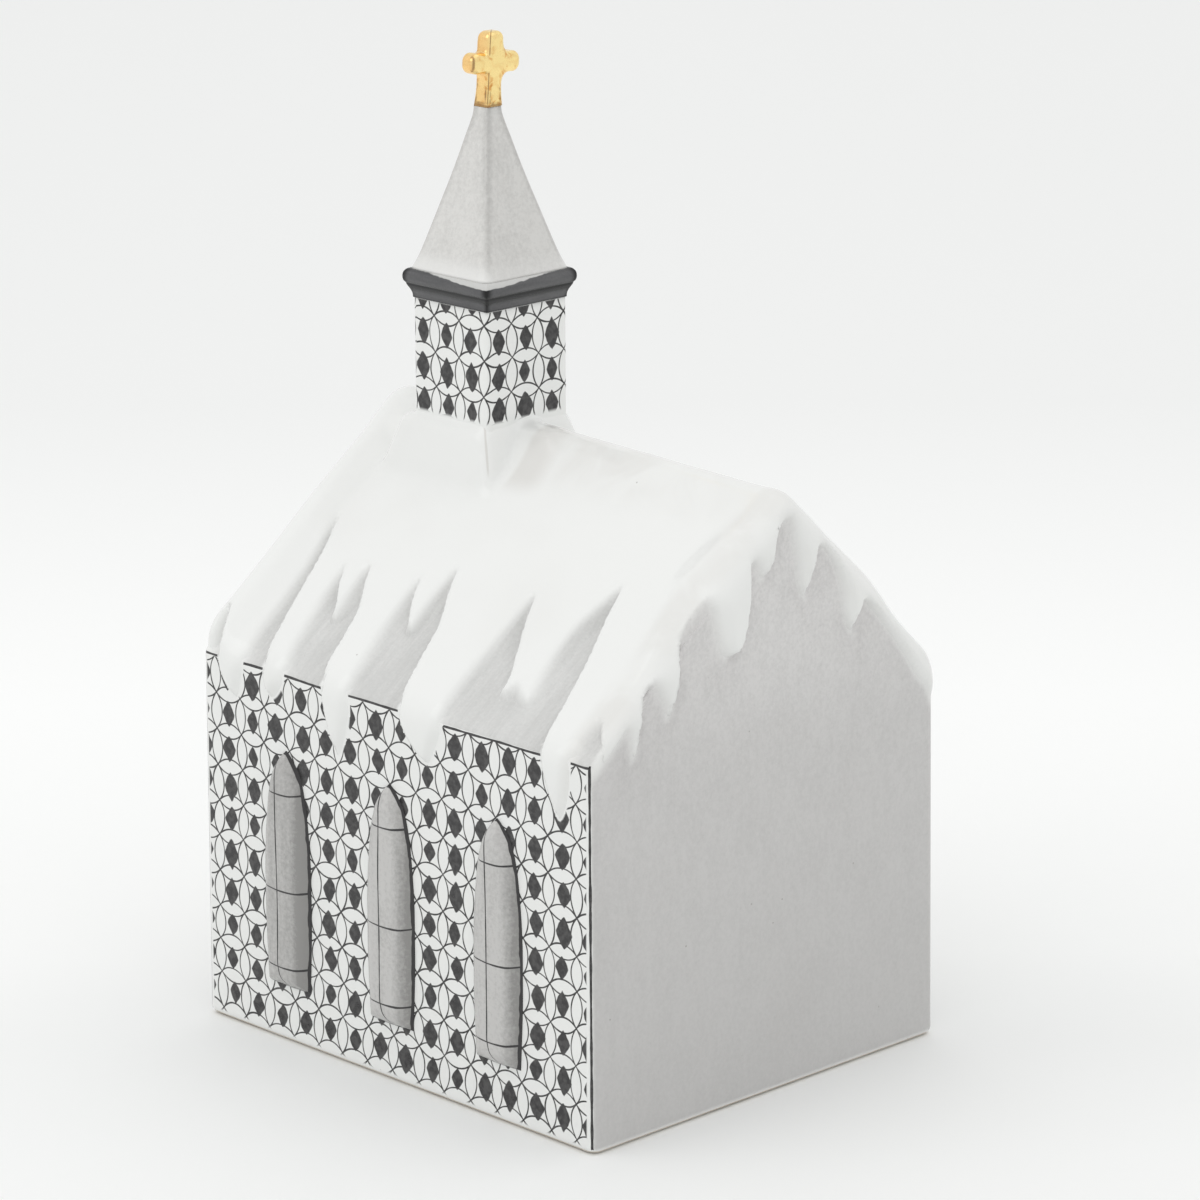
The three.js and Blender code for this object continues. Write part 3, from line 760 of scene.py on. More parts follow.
# %% [markdown]
# ## Paint that follows the snow
#
# The grey wash was brushed into the tongues after the snow was laid. It stops sharply against a
# crisp side and runs thin over a smeared one. So two values ride on the points of the snow and of
# the house: slope and gable, the amounts of the two greys. They are read off the same charts as
# the depth. An image painted by hand would do too, but it would not follow a change of the outline.

# %% Wash on the snow
def washed(points):
    """Amounts of the slope's grey and of the gable's grey at points of the snow or of the house."""
    x, y, z = points.T
    side, end = np.where(y < ridge_shift, -1, 1), np.sign(x)
    upward = np.where(side < 0, upslope(y, z, -1)[0], upslope(y, z, 1)[0])

    def amount(chart, p, q, reach, first, last):
        soft, crisp = chart.read(p, q, 1), chart.read(p, q, 2)
        widths = np.sign(soft) * np.minimum(np.abs(soft) / reach, np.abs(crisp) / 0.4)
        return (1 - step01(widths, first, last)) * (0.74 + 0.26 * np.exp(np.minimum(crisp, 0) / 2.2))

    below = step01(57.5 - z, 0, 2)
    on_gable = step01(np.abs(x) - gable_x(z), -0.9 + 0.35 * below, -0.1 - 0.25 * below)
    on_wall = step01(wall_height - 0.35 - z, 0, 0.3)
    slope = amount(roof_chart, -side * x, upward, 1.9 - 0.8 * step01(upward, 6, 22), -1.0, 0.3)
    slope *= (1 - on_gable) * (1 - on_wall) * (0.45 + 0.55 * step01(-side * x, -40, -36))
    gable = amount(gable_chart, end * (y - ridge_shift), roof_line(y) - z, 1.8, -1.0, 0.45)
    return {"slope": slope, "gable": gable * on_gable}


snow_washes = washed(snow_points)
print("washes on the snow, mean:", {name: float(wash.mean().round(3)) for name, wash in snow_washes.items()})

# %% [markdown]
# ## Glazed porcelain
#
# Every painted surface is the same stuff: a coloured ground under clear glaze. The ground is the base
# colour, the glaze is the sharp reflection on top, and its waves are a bump in metres. One
# function builds it, and each material only says what its ground is.

# %% One maker for all glazed finishes
def glazed(name, ground, waves=0.03, pinholes=0.05, roughness=0.16):
    made, tree, shader, where = new_material(name)
    height, pinhole = placed(tree, glaze_skin, {"Place": where, "Waves": waves, "Pinholes": pinholes})
    link(blend(tree, pinhole * 0.45, ground(tree, where), linear(120, 112, 104)), shader["Base Color"])
    link(bump(tree, height), shader["Normal"])
    shader["Roughness"].default_value = roughness
    shader["IOR"].default_value = 1.5
    return made


white, ink_black = linear(242, 243, 241), linear(52, 51, 52)


def painted_shade_and_clouds(tree, where):
    """A painted shade line down one corner of the drift, and faint grey clouds beside the ridge, right of the
    drift and over the near verge, where they darken its flank as painted shade.
    """
    x, y, z = axes_of(tree, where)
    past = x + y + z * 0.12
    # painted shade down the near corner of the drift
    line = pen_ink(tree, where, past + 5.9 * MM, 0.42 * MM)
    by_drift = ramp(tree, x, -8.4 * MM, -8.9 * MM) * ramp(tree, x, -14.6 * MM, -13.8 * MM)
    line = line * by_drift * ramp(tree, z, 84.4 * MM, 86 * MM)
    cloud = noise(tree, where, 110.0, 3.0, Distortion=0.8)
    by_ridge = ramp(tree, y, -4.5 * MM, 0.5 * MM) * ramp(tree, x, -11 * MM, -6 * MM)
    by_ridge = by_ridge * ramp(tree, x, 40 * MM, 8 * MM, 0.4, 1.0)
    # over the near verge the clouds darken its flank as painted shade
    by_verge = ramp(tree, abs(x - 39.5 * MM), 1.0 * MM, 4.0 * MM, 1.0, 0.0)
    cloud = ramp(tree, cloud, 0.3, 0.62, 0.12, 0.5) * larger(tree, by_ridge, by_verge)
    beside = ramp(tree, x, -9.0 * MM, -7.6 * MM) * ramp(tree, x, 0.0, -5 * MM)
    beside = beside * ramp(tree, y, -6 * MM, -2.5 * MM, 0.0, 0.8)
    cloud = larger(tree, cloud, beside)
    cloud = cloud + ramp(tree, noise(tree, where, 45.0, 2.0), 0.5, 0.75, 0.0, 0.16)
    return larger(tree, line * 0.6, cloud * 0.6)


def washed_ground(tree, where):
    """White ground with the two greys over it, each in the amount that rides on the points."""
    z = axes_of(tree, where)[2]
    grain = gritty(tree, where, 0.9)
    down_slope = wash_tone(tree, where, (1100.0, 80.0, 80.0))
    mottled = calc(tree, "ADD", down_slope, grain, clamp=True)
    slope = blend(tree, mottled, linear(216, 216, 214), linear(190, 190, 188))
    # white, darkened by the painted shade line and the grey clouds
    body = blend(tree, painted_shade_and_clouds(tree, where), white, linear(214, 211, 206))
    body = blend(tree, read(tree, "slope"), body, slope)
    upright = wash_tone(tree, where, (420.0, 420.0, 150.0))
    # painted shade and light: the gable grey darkens toward the foot and pales toward the verge
    grey = blend(tree, ramp(tree, z, 5 * MM, 75 * MM), linear(184, 182, 181), linear(201, 199, 198))
    grey = blend(tree, ramp(tree, z, 50 * MM, 76 * MM), grey, linear(218, 216, 215))
    mottled = calc(tree, "ADD", upright * 0.28, grain, clamp=True)
    grey = blend(tree, mottled, grey, linear(153, 151, 150))
    return blend(tree, read(tree, "gable"), body, grey)


white_glaze = glazed("white_glaze", washed_ground, waves=0.05, pinholes=0.03, roughness=0.14)
roof_snow = piece_from("snow", snow_points, snow_quads, [white_glaze], snow_washes)
stands_for(roof_snow, "roof_snow")

# %% [markdown]
# ## The cast house
#
# A slip casting is hollow and even in thickness. A box with a bevel and a Solidify modifier would
# come near, but the off-centre ridge and the draft of the walls are easier to say in rings. So the
# house is a loft: rectangles with round corners that climb the outside, and above the eave close in
# on the ridge at the slope of each side. More rings run down the inside, so the piece has a real
# cavity behind its foot.

# %% Rings of the house
across, along, turn_steps = 150, 120, 5


def house_ring(half_x, low_y, high_y, radius, low_z, high_z=None):
    high_z = low_z if high_z is None else high_z
    r = min(radius, (high_y - low_y) / 2.05)
    xs, ys = np.linspace(-half_x + r, half_x - r, across), np.linspace(low_y + r, high_y - r, along)

    def corner(cx, cy, start):
        a = np.radians(start + np.linspace(0, 90, turn_steps + 2)[1:-1])
        return np.column_stack([cx + r * np.cos(a), cy + r * np.sin(a)])

    ring = np.concatenate([
        np.column_stack([xs, np.full(across, low_y)]), corner(half_x - r, low_y + r, -90),
        np.column_stack([np.full(along, half_x), ys]), corner(half_x - r, high_y - r, 0),
        np.column_stack([xs[::-1], np.full(across, high_y)]), corner(-half_x + r, high_y - r, 90),
        np.column_stack([np.full(along, -half_x), ys[::-1]]), corner(-half_x + r, low_y + r, 180)])
    share = (ring[:, 1] - low_y) / max(high_y - low_y, 1e-6)
    return np.column_stack([ring, low_z + (high_z - low_z) * share])


def outer_ring(z, inset=0.0, radius=1.4):
    over, bend = z - wall_height, 0.5
    climbed = np.where(over > bend, over, np.where(over < -bend, 0, (over + bend) ** 2 / (4 * bend)))
    lean = side_y(min(z, wall_height))
    low = -lean + climbed * run_of(-1) / roof_rise + inset
    high = lean - climbed * run_of(1) / roof_rise - inset
    low, high = min(low, ridge_shift), max(high, ridge_shift)
    return house_ring(gable_x(z) - inset, low, high, radius, z)


def inner_levels():
    """The cavity, from its ridge down to the foot."""
    lift = [shell * math.hypot(1, roof_rise / run_of(side)) for side in (-1, 1)]
    rate = [roof_rise / run_of(side) for side in (-1, 1)]
    middle = ((rate[1] * eave_y - lift[1]) - (rate[0] * eave_y - lift[0])) / (rate[0] + rate[1])
    top = wall_height + rate[0] * (middle + eave_y) - lift[0]
    yield house_ring(gable_x(top) - shell, middle, middle, 0.3, top)
    inner = eave_y - shell
    ends = [wall_height + shell * r - l for r, l in zip(rate, lift)]
    yield house_ring(gable_x(56) - shell, -inner, inner, 0.5, *ends)
    for z in (3, 0):
        yield house_ring(gable_x(z) - shell, -side_y(z) + shell, side_y(z) - shell, 0.5, z)


foot_round = 1.2
levels = [house_ring(gable_x(0) - foot_round, -side_y(0) + foot_round, side_y(0) - foot_round, 0.6, 0)]
for a in np.radians([15, 30, 45, 60, 75, 90]):
    levels.append(outer_ring(foot_round * (1 - math.cos(a)), foot_round * (1 - math.sin(a))))
levels += [outer_ring(z) for z in [1.6, 2.4, *np.arange(6, 43, 4), *np.arange(44, 57.4, 0.5)]]
levels += [outer_ring(z) for z in (57.5, 57.7, 57.85, 58, 58.15, 58.3, 58.5)]
levels += [outer_ring(z, radius=max(0.7, 1.4 - (z - 58.5))) for z in np.arange(59, ridge_height - 0.2, 0.5)]
levels.append(house_ring(gable_x(ridge_height), ridge_shift, ridge_shift, 0.7, ridge_height))
rings = [*inner_levels(), *levels]
print("rings:", len(rings), "of", len(rings[0]), "points")


# %% Loft the rings and close the two ridge lines
def loft(rings):
    n = len(rings[0])
    i, j = np.meshgrid(np.arange(len(rings) - 1), np.arange(n), indexing="ij")
    a, b = i * n + j, i * n + (j + 1) % n
    return np.concatenate(rings), np.stack([a, b, b + n, a + n], -1).reshape(-1, 4)


def welded(points, faces, tolerance=1e-4):
    """Points that coincide become one, and faces that lose a side are thinned or dropped."""
    keys = np.round(points / tolerance).astype(np.int64)
    _, first, back = np.unique(keys, axis=0, return_index=True, return_inverse=True)
    back = back.reshape(-1)
    kept = []
    for face in back[faces].tolist():
        face = [v for k, v in enumerate(face) if v != face[k - 1]]
        if len(face) > 2:
            kept.append(face)
    return points[first], kept


points, faces = welded(*loft(rings))
x, y, z = points.T
house_washes = washed(points)
wall_gap = -np.maximum(wall_chart.read(-np.sign(y) * x, z, 1), wall_chart.read(-np.sign(y) * x, z, 2))
print("slope wash on the house, mean:", house_washes["slope"].mean().round(3))

# %% [markdown]
# ## Paint on the house
#
# Four grounds share the house: the net on the long walls, the brushed grey of the gables, the paler
# grey of the bare roof, and the unglazed foot. The long wall also has pen strokes that frame it:
# one down each end, and one along every bare stretch of the eave.

# %% Grounds of the house
def ink_tone(tree, where):
    """Ink is laid by hand, so it is nowhere equally thick."""
    flow = noise(tree, where, 1100.0, 2.0)
    return blend(tree, ramp(tree, flow, 0.35, 0.7), linear(40, 39, 40), linear(72, 71, 71))


def eave_ink(tree, where):
    """The pen stroke along each bare stretch of the eave, a little uneven in height."""
    x, y, z = axes_of(tree, where)
    hang = noise(tree, where, 60.0, 1.0)
    from_eave = z - (57.15 * MM + hang * (0.8 * MM))
    stroke = pen_ink(tree, where, from_eave, 0.34 * MM)
    beside = ramp(tree, abs(y), (eave_y - 1.1) * MM, (eave_y - 0.8) * MM)
    short = ramp(tree, abs(x), (wall_length / 2 - 0.85) * MM, (wall_length / 2 - 1.0) * MM)
    beside = beside * short
    return stroke * beside * ramp(tree, read(tree, "gap"), 0.0, 0.25)


def wall_ground(tree, where):
    x, y, z = axes_of(tree, where)
    flat = joined(tree, x + 2.8 * MM, z - 4.3 * MM, calc(tree, "SIGN", y))
    net = placed(tree, circle_net, {"Place": flat})[0]
    clear_of_snow = ramp(tree, read(tree, "gap"), 0.15, 0.5)
    from_corner = abs(x) - (wall_length / 2 - 0.6) * MM
    clear = clear_of_snow * ramp(tree, from_corner, -1.0 * MM, -0.7 * MM, 1.0, 0.0)
    clear = clear * ramp(tree, z, 0.9 * MM, 1.5 * MM)
    net = net * (clear * ramp(tree, z, 57.3 * MM, 57.6 * MM, 1.0, 0.0))
    corner_x = (wall_length / 2 - 0.62) * MM - z * draft
    from_post = abs(x) - corner_x
    post = pen_ink(tree, where, from_post, 0.3 * MM)
    post = post * clear_of_snow
    eave = eave_ink(tree, where)
    ink = larger(tree, net, larger(tree, post, eave))
    body = blend(tree, ink, white, ink_tone(tree, where))
    return blend(tree, ramp(tree, z, 0.25 * MM, 0.6 * MM, 0.75, 0.0), body, linear(158, 146, 132))


def grey_ground(tree, where):
    z = axes_of(tree, where)[2]
    body = blend(tree, ramp(tree, z, 0.5 * MM, 1.3 * MM), white, washed_ground(tree, where))
    body = blend(tree, eave_ink(tree, where), body, ink_black)
    return blend(tree, ramp(tree, z, 0.2 * MM, 0.6 * MM, 0.6, 0.0), body, linear(176, 166, 152))


def foot_ground(tree, where):
    tone = wash_tone(tree, where, (300.0, 300.0, 300.0))
    return blend(tree, tone, linear(222, 216, 206), linear(196, 186, 172))


net_wall = glazed("net_painted_wall", wall_ground, waves=0.03, pinholes=0.02)
grey_wash = glazed("grey_wash", grey_ground, waves=0.05, pinholes=0.05, roughness=0.2)
bare_foot = glazed("bare_foot", foot_ground, waves=0.01, roughness=0.6)

# %% House piece, with one ground to each kind of face
centre = np.array([points[f].mean(0) for f in faces])
steep = np.array([np.cross(points[f[1]] - points[f[0]], points[f[-1]] - points[f[0]]) for f in faces])
steep /= np.maximum(np.linalg.norm(steep, axis=1, keepdims=True), 1e-12)
kind = np.where(np.abs(steep[:, 1]) > 0.7, 0, 1)
kind[(steep[:, 2] > 0.3) & (centre[:, 2] > 57)] = 1
kind[(steep[:, 2] < -0.5) | (np.abs(steep[:, 2]) > 0.99) & (centre[:, 2] < 1)] = 2
values = {**house_washes, "gap": wall_gap}
house = piece_from("house", points, faces, [net_wall, grey_wash, bare_foot], values, kind)
stands_for(house, "nave_body")

# %% [markdown]
# ## The bell tower
#
# The tower is pressed as a square box and cut at its foot to sit astride the ridge. A bevelled cube
# would do for the shape, but the net runs round it without a break, so its pattern needs a UV map:
# one coordinate round the walls, one up them. A loft of rings gives both at once, since every point
# knows its place in its ring. The wall is 12 meshes round, a whole number, so the pattern meets itself.

# %% Loft the tower and unroll its walls
def tower_ring(height):
    r, n = 0.7, 26
    edge = np.linspace(-tower_half + r, tower_half - r, n)
    ring = []
    for turn in range(4):
        a = np.radians(90 * turn)
        c, s = np.cos(a), np.sin(a)
        bend = np.radians(np.linspace(-90, 0, 7)[1:-1])
        side_points = np.column_stack([edge, np.full(n, -tower_half)])
        corner = np.column_stack([tower_half - r + r * np.cos(bend), -tower_half + r + r * np.sin(bend)])
        for px, py in np.concatenate([side_points, corner]):
            ring.append((tower_x + c * px - s * py, ridge_shift + s * px + c * py))
    ring = np.array(ring)
    return np.column_stack([ring, height(ring[:, 1]) if callable(height) else np.full(len(ring), height)])


tower_levels = [tower_ring(lambda y: roof_line(y) + 0.3)]
tower_levels += [tower_ring(z) for z in (88.5, 92, 96, 100, 104, 108, tower_top)]
points, faces = loft(tower_levels)
n, count = len(tower_levels[0]), len(points)
points = np.vstack([points, tower_levels[0].mean(0), tower_levels[-1].mean(0)])
foot_fan = [[count, (j + 1) % n, j] for j in range(n)]
top_fan = [[count + 1, count - n + j, count - n + (j + 1) % n] for j in range(n)]
faces = faces.tolist() + foot_fan + top_fan
top_ring = np.vstack([tower_levels[-1], tower_levels[-1][:1]])
around = np.concatenate([[0], np.cumsum(np.linalg.norm(np.diff(top_ring, axis=0), axis=1))])
girth = float(around[-1])
print("round the tower, mm:", round(girth, 2), "one mesh of the net:", round(girth / 12, 2))


def tower_ground(tree, where):
    unrolled = wire(tree, "ShaderNodeUVMap", uv_map="walls")
    z = axes_of(tree, where)[2]
    net = placed(tree, circle_net, {"Place": unrolled, "Pitch": 5.37 * MM, "Mark Width": 2.65 * MM})[0]
    clear = ramp(tree, z, 91.9 * MM, 92.6 * MM) * ramp(tree, z, 109.1 * MM, 109.3 * MM, 1.0, 0.0)
    return blend(tree, net * clear, white, ink_tone(tree, where))


painted_tower = glazed("painted_tower", tower_ground, waves=0.02, pinholes=0.02)
tower = piece_from("tower", points, faces, [painted_tower])
unrolled = tower.data.uv_layers.new(name="walls")
for face in tower.data.polygons:
    columns = [v % n if v < count else 0 for v in face.vertices]
    closing = max(columns) - min(columns) > n // 2
    for loop, v, column in zip(face.loop_indices, face.vertices, columns):
        if closing and column < n // 2:
            column += n
        unrolled.data[loop].uv = ((around[column] + 3.9) * MM, (tower.data.vertices[v].co.z - 93.6 * MM))
stands_for(tower, "bell_tower")

# %% [markdown]
# ## Geometry Nodes for what follows a rule
#
# The spire and the cornice are squares that change their breadth by a drawn curve as they climb, and
# the panes are a sheet pulled into a lancet. Each is a tree with named sizes, so that one tree serves
# several pieces. The result is turned into a plain mesh, and the modifier goes, because the pieces
# are handed over as meshes with their place in them.

# %% Helpers for geometry trees
weld = 0.002 * MM  # points nearer than this become one


def geometry_tree(name, inputs):
    tree = bpy.data.node_groups.new(name, "GeometryNodeTree")
    tree.interface.new_socket("Geometry", in_out="OUTPUT", socket_type="NodeSocketGeometry")
    for label, value in inputs:
        tree.interface.new_socket(label, in_out="INPUT", socket_type="NodeSocketFloat").default_value = value
    tree.interface.new_socket("Glaze", in_out="INPUT", socket_type="NodeSocketMaterial")
    return tree, wires(tree, tree.nodes.new("NodeGroupInput")), tree.nodes.new("NodeGroupOutput").inputs


def curve_of(tree, value, points):
    """A drawn curve from 0..1 to 0..1."""
    made = node(tree, "ShaderNodeFloatCurve", {1: value})
    drawn = made.mapping.curves[0]
    drawn.points[0].location, drawn.points[1].location = points[0], points[-1]
    for x, y in points[1:-1]:
        drawn.points.new(x, y)
    made.mapping.update()
    return Wire(tree, made.outputs[0])


def finish_tree(tree, geometry, given, gives):
    real = wire(tree, "GeometryNodeRealizeInstances", {0: geometry})
    smooth = wire(tree, "GeometryNodeSetShadeSmooth", {0: real})
    link(wire(tree, "GeometryNodeSetMaterial", {0: smooth, "Material": given["Glaze"]}), gives[0])


def volume(mesh):
    """Signed volume: below zero when the faces look inward."""
    mesh.calc_loop_triangles()
    spots = [v.co for v in mesh.vertices]
    corners = (triangle.vertices for triangle in mesh.loop_triangles)
    return sum(spots[a].dot(spots[b].cross(spots[c])) for a, b, c in corners) / 6


def grown(name, tree, values):
    """A plain mesh piece from a geometry tree and its own values."""
    seed = bpy.data.objects.new(name + "_rule", bpy.data.meshes.new(name + "_rule"))
    bpy.context.scene.collection.objects.link(seed)
    modifier = seed.modifiers.new("rule", "NODES")
    modifier.node_group = tree
    for item in tree.interface.items_tree:
        if item.in_out == "INPUT" and item.name in values:
            modifier[item.identifier] = values[item.name]
    grid = bpy.context.evaluated_depsgraph_get()
    mesh = bpy.data.meshes.new_from_object(seed.evaluated_get(grid), depsgraph=grid)
    bpy.data.objects.remove(seed)
    mesh.name = name
    if volume(mesh) < 0:
        mesh.flip_normals()
    made = bpy.data.objects.new(name, mesh)
    bpy.context.scene.collection.objects.link(made)
    spots = np.array([v.co for v in mesh.vertices]) / MM
    low, high = spots.min(0), spots.max(0)
    print(f"{name}: {len(mesh.loop_triangles)} triangles, {low.round(1)} to {high.round(1)} mm")
    return made


# %% A square that changes its breadth as it climbs
def turned_square(name, outline, inputs, rows=74):
    """Rows of a sheet become squares with round arrises; an outline says how broad each row is."""
    tree, given, gives = geometry_tree(name, inputs)
    sheet = wire(tree, "GeometryNodeMeshGrid", {"Vertices X": 241, "Vertices Y": rows}, output="Mesh")
    spot = axes_of(tree, wire(tree, "GeometryNodeInputPosition"))
    angle = spot[0] * (2 * math.pi)
    angle = angle + calc(tree, "SINE", angle * 4.0) * 0.21
    row = spot[1] + 0.5
    one_row = 1 / (rows - 1)
    climb = wire(tree, "ShaderNodeMapRange", {0: row, 1: one_row, 2: 1 - one_row, 3: 0.0, 4: 1.0})
    share = curve_of(tree, climb, outline)
    reach = given["Narrow"] + share * (given["Wide"] - given["Narrow"])
    # the first and the last row shrink to a point, which closes the two ends
    open_row = calc(tree, "LESS_THAN", abs(spot[1]), 0.5 - 0.5 / (rows - 1))
    reach = reach * 0.5 * open_row
    cosine, sine = calc(tree, "COSINE", angle), calc(tree, "SINE", angle)
    square = (abs(cosine) ** given["Arris"] + abs(sine) ** given["Arris"]) ** (-1.0 / given["Arris"])
    reach = reach * square
    put = joined(tree, reach * cosine + tower_x * MM, reach * sine + ridge_shift * MM,
                 given["Base"] + climb * given["Height"])
    bent = wire(tree, "GeometryNodeSetPosition", {"Geometry": sheet, "Position": put})
    closed = wire(tree, "GeometryNodeMergeByDistance", {"Geometry": bent, "Distance": weld})
    finish_tree(tree, closed, given, gives)
    return tree


# %% [markdown]
# ## The spire
#
# The spire was pressed in a mould. Its four faces flare out at the foot like a bell and draw out into
# a stem under the cross. A cone with four sides would give flat faces and hard arrises. Here a sheet
# is wound round the axis, and a drawn curve says how broad each row is, which gives the flare. The
# power called Arris says how square a row is: 2 is a circle, and a larger one sharpens the arrises.

# %% Spire
spire_rule = turned_square("spire rule",
    [(0, 1), (.03, .955), (.08, .885), (.15, .805), (.25, .7), (.4, .545), (.55, .39), (.7, .245),
     (.82, .135), (.91, .05), (.96, .012), (1, 0)],
    [("Wide", 17.35 * MM), ("Narrow", 3 * MM), ("Height", 24.6 * MM), ("Base", 113.7 * MM), ("Arris", 15.0)])


def spire_ground(tree, where):
    x, y, z = axes_of(tree, where)
    tone = wash_tone(tree, where, (380.0, 380.0, 120.0))
    off_x = abs(x - tower_x * MM)
    off_y = abs(y - ridge_shift * MM)
    from_arris = abs(off_x - off_y)
    stripe = ramp(tree, from_arris, 0.3 * MM, 1.5 * MM, 0.42, 0.0)
    cloud = noise(tree, where, 170.0, 2.0)
    shade = tone * 0.25 + (cloud - 0.4) * 0.6
    shade = calc(tree, "ADD", shade + stripe, gritty(tree, where, 1.3), clamp=True)
    # painted shade: the two faces that look along the ridge, the right one in view, are a little darker
    painted_x_face_shade = ramp(tree, off_x - off_y, -0.3 * MM, 0.3 * MM, 0.0, 0.24)
    shade = calc(tree, "ADD", shade, painted_x_face_shade, clamp=True)
    grey = blend(tree, shade, linear(224, 223, 220), linear(190, 189, 186))
    foot = ramp(tree, z, 113.9 * MM, 117.6 * MM, 0.8, 0.0) * ramp(tree, off_y, 6.5 * MM, 8 * MM, 0.4, 1.0)
    return blend(tree, foot, grey, linear(236, 236, 234))


grey_glaze = glazed("grey_glaze", spire_ground, waves=0.04, pinholes=0.14, roughness=0.2)
spire = grown("spire_roof", spire_rule, {"Glaze": grey_glaze})
stands_for(spire, "spire")

# %% [markdown]
# ## The cornice
#
# Under the spire runs a dark moulding. It could be a profile swept along a square path, but then its
# mitred corners come out knife-sharp. In the same tree as the spire's the profile is the curve of
# breadth over height, and a high Arris leaves each corner the small round that glaze gives it.

# %% Cornice: a cove, a crease and a full roll
cornice_rule = turned_square("cornice rule",
    [(0, .06), (.1, .08), (.22, .2), (.34, .42), (.44, .62), (.5, .69), (.56, .86), (.64, .97), (.73, 1),
     (.84, .95), (.93, .78), (1, .45)],
    [("Wide", 18.75 * MM), ("Narrow", 16.4 * MM), ("Height", 4.4 * MM), ("Base", tower_top * MM),
     ("Arris", 60.0)])


def charcoal_ground(tree, where):
    x, y, z = axes_of(tree, where)
    tone = wash_tone(tree, where, (160.0, 160.0, 1500.0))
    dark = blend(tree, tone, linear(26, 26, 27), linear(12, 12, 13))
    # a lighter grey for the roll's top and the foot of the cove, partly wear and partly painted sheen; the
    # crease between them stays dark, and the lighter grey fades out near the arrises
    wear_and_painted_light = blend(tree, tone, linear(104, 104, 105), linear(80, 80, 82))
    roll = ramp(tree, z, 111.4 * MM, 112.0 * MM) * ramp(tree, z, 113.2 * MM, 113.7 * MM, 1.0, 0.6)
    cove = ramp(tree, z, 111.0 * MM, 110.1 * MM) * ramp(tree, z, 109.3 * MM, 109.6 * MM, 0.4, 0.95)
    roll = larger(tree, roll, cove)
    off_x, off_y = x - tower_x * MM, y - ridge_shift * MM
    from_arris = abs(abs(off_x) - abs(off_y))
    roll = roll * ramp(tree, from_arris + cove * (0.6 * MM), 0.3 * MM, 1.6 * MM)
    ground = blend(tree, roll, dark, wear_and_painted_light)
    # over one corner the grey of the spire ran down on to the roll
    hang = noise(tree, where, 700.0, 1.0)
    run = ramp(tree, off_x - off_y, 1 * MM, 18 * MM, 0.0, 0.85 * MM)
    low = 113.95 * MM - run - hang * (0.35 * MM)
    over = ramp(tree, z - low, -0.05 * MM, 0.1 * MM)
    return blend(tree, over, ground, linear(206, 206, 204))


charcoal_glaze = glazed("charcoal_glaze", charcoal_ground, waves=0.03, pinholes=0.03, roughness=0.24)
charcoal_glaze.node_tree.nodes["Principled BSDF"].inputs["IOR"].default_value = 1.4
cornice = grown("cornice", cornice_rule, {"Glaze": charcoal_glaze})
stands_for(cornice, "tower_cornice")

# %% [markdown]
# ## Lancet panes
#
# The windows are raised cushions with the glazing bars only painted on. In the tree a flat sheet
# is squeezed to the outline of a lancet, then lifted by a quarter circle near its edge. The sheet's
# own coordinates are kept as an attribute, called pane, so that the painted bars follow it. A filled
# curve with a bevel would be quicker, but its long thin triangles would show in the glossy cushion.

# %% Pane tree
let_in = 0.25 * MM  # how deep the back of a pane lies in the wall


def pane_tree(name, outline, inputs):
    place = [("Sill", 9.1 * MM), ("Along", 0.0), ("Away", wall_width / 2 * MM), ("Turn", 0.0)]
    tree, given, gives = geometry_tree(name, inputs + place + [("Lean", math.atan(draft))])
    sheet = wire(tree, "GeometryNodeMeshGrid", {"Vertices X": 41, "Vertices Y": 101}, output="Mesh")
    spot = axes_of(tree, wire(tree, "GeometryNodeInputPosition"))
    across_share = calc(tree, "SINE", spot[0] * math.pi)
    up_share = 0.5 + calc(tree, "SINE", spot[1] * math.pi) * 0.5
    half = given["Width"] * 0.5 * curve_of(tree, up_share, outline)
    x = half * across_share
    y = given["Height"] * up_share
    from_side = half * (1.0 - abs(across_share))
    from_end = smaller(tree, y, (given["Height"] - y) * 0.6)
    near_edge = smaller(tree, smaller(tree, from_side, from_end) / given["Soft Edge"], 1.0)
    drop = 1.0 - near_edge
    lift = given["Relief"] * (1.0 - drop * drop)
    crown = (1.0 - across_share * across_share) * 0.16 * given["Relief"]
    # the border of the front lies on the back, so that the two close into one shell
    inside = calc(tree, "GREATER_THAN", near_edge, 0.0001)
    above_back = lift * 0.86 + crown + let_in
    face_z = inside * above_back - let_in
    face_at = joined(tree, x, y, face_z)
    back_at = joined(tree, x, y, -let_in)
    paint_at = joined(tree, x, y, lift)
    values = {"Geometry": sheet, "Name": "pane", "Value": paint_at}
    kept = wire(tree, "GeometryNodeStoreNamedAttribute", values, data_type="FLOAT_VECTOR", domain="POINT")
    front = wire(tree, "GeometryNodeSetPosition", {"Geometry": kept, "Position": face_at})
    rear = wire(tree, "GeometryNodeSetPosition", {"Geometry": kept, "Position": back_at})
    rear = wire(tree, "GeometryNodeFlipFaces", {0: rear})
    both = node(tree, "GeometryNodeJoinGeometry")
    link(front, both.inputs[0])
    link(rear, both.inputs[0])
    shell_of_two = Wire(tree, both.outputs[0])
    made = wire(tree, "GeometryNodeMergeByDistance", {"Geometry": shell_of_two, "Distance": weld})
    upright = joined(tree, math.pi / 2 - given["Lean"], 0.0, 0.0)
    on_wall = joined(tree, given["Along"], given["Away"] * -1.0 + given["Sill"] * draft, given["Sill"])
    facing = joined(tree, 0.0, 0.0, given["Turn"])
    for way, amount in (("Rotation", upright), ("Translation", on_wall), ("Rotation", facing)):
        made = wire(tree, "GeometryNodeTransform", {"Geometry": made, way: amount})
    finish_tree(tree, made, given, gives)
    return tree


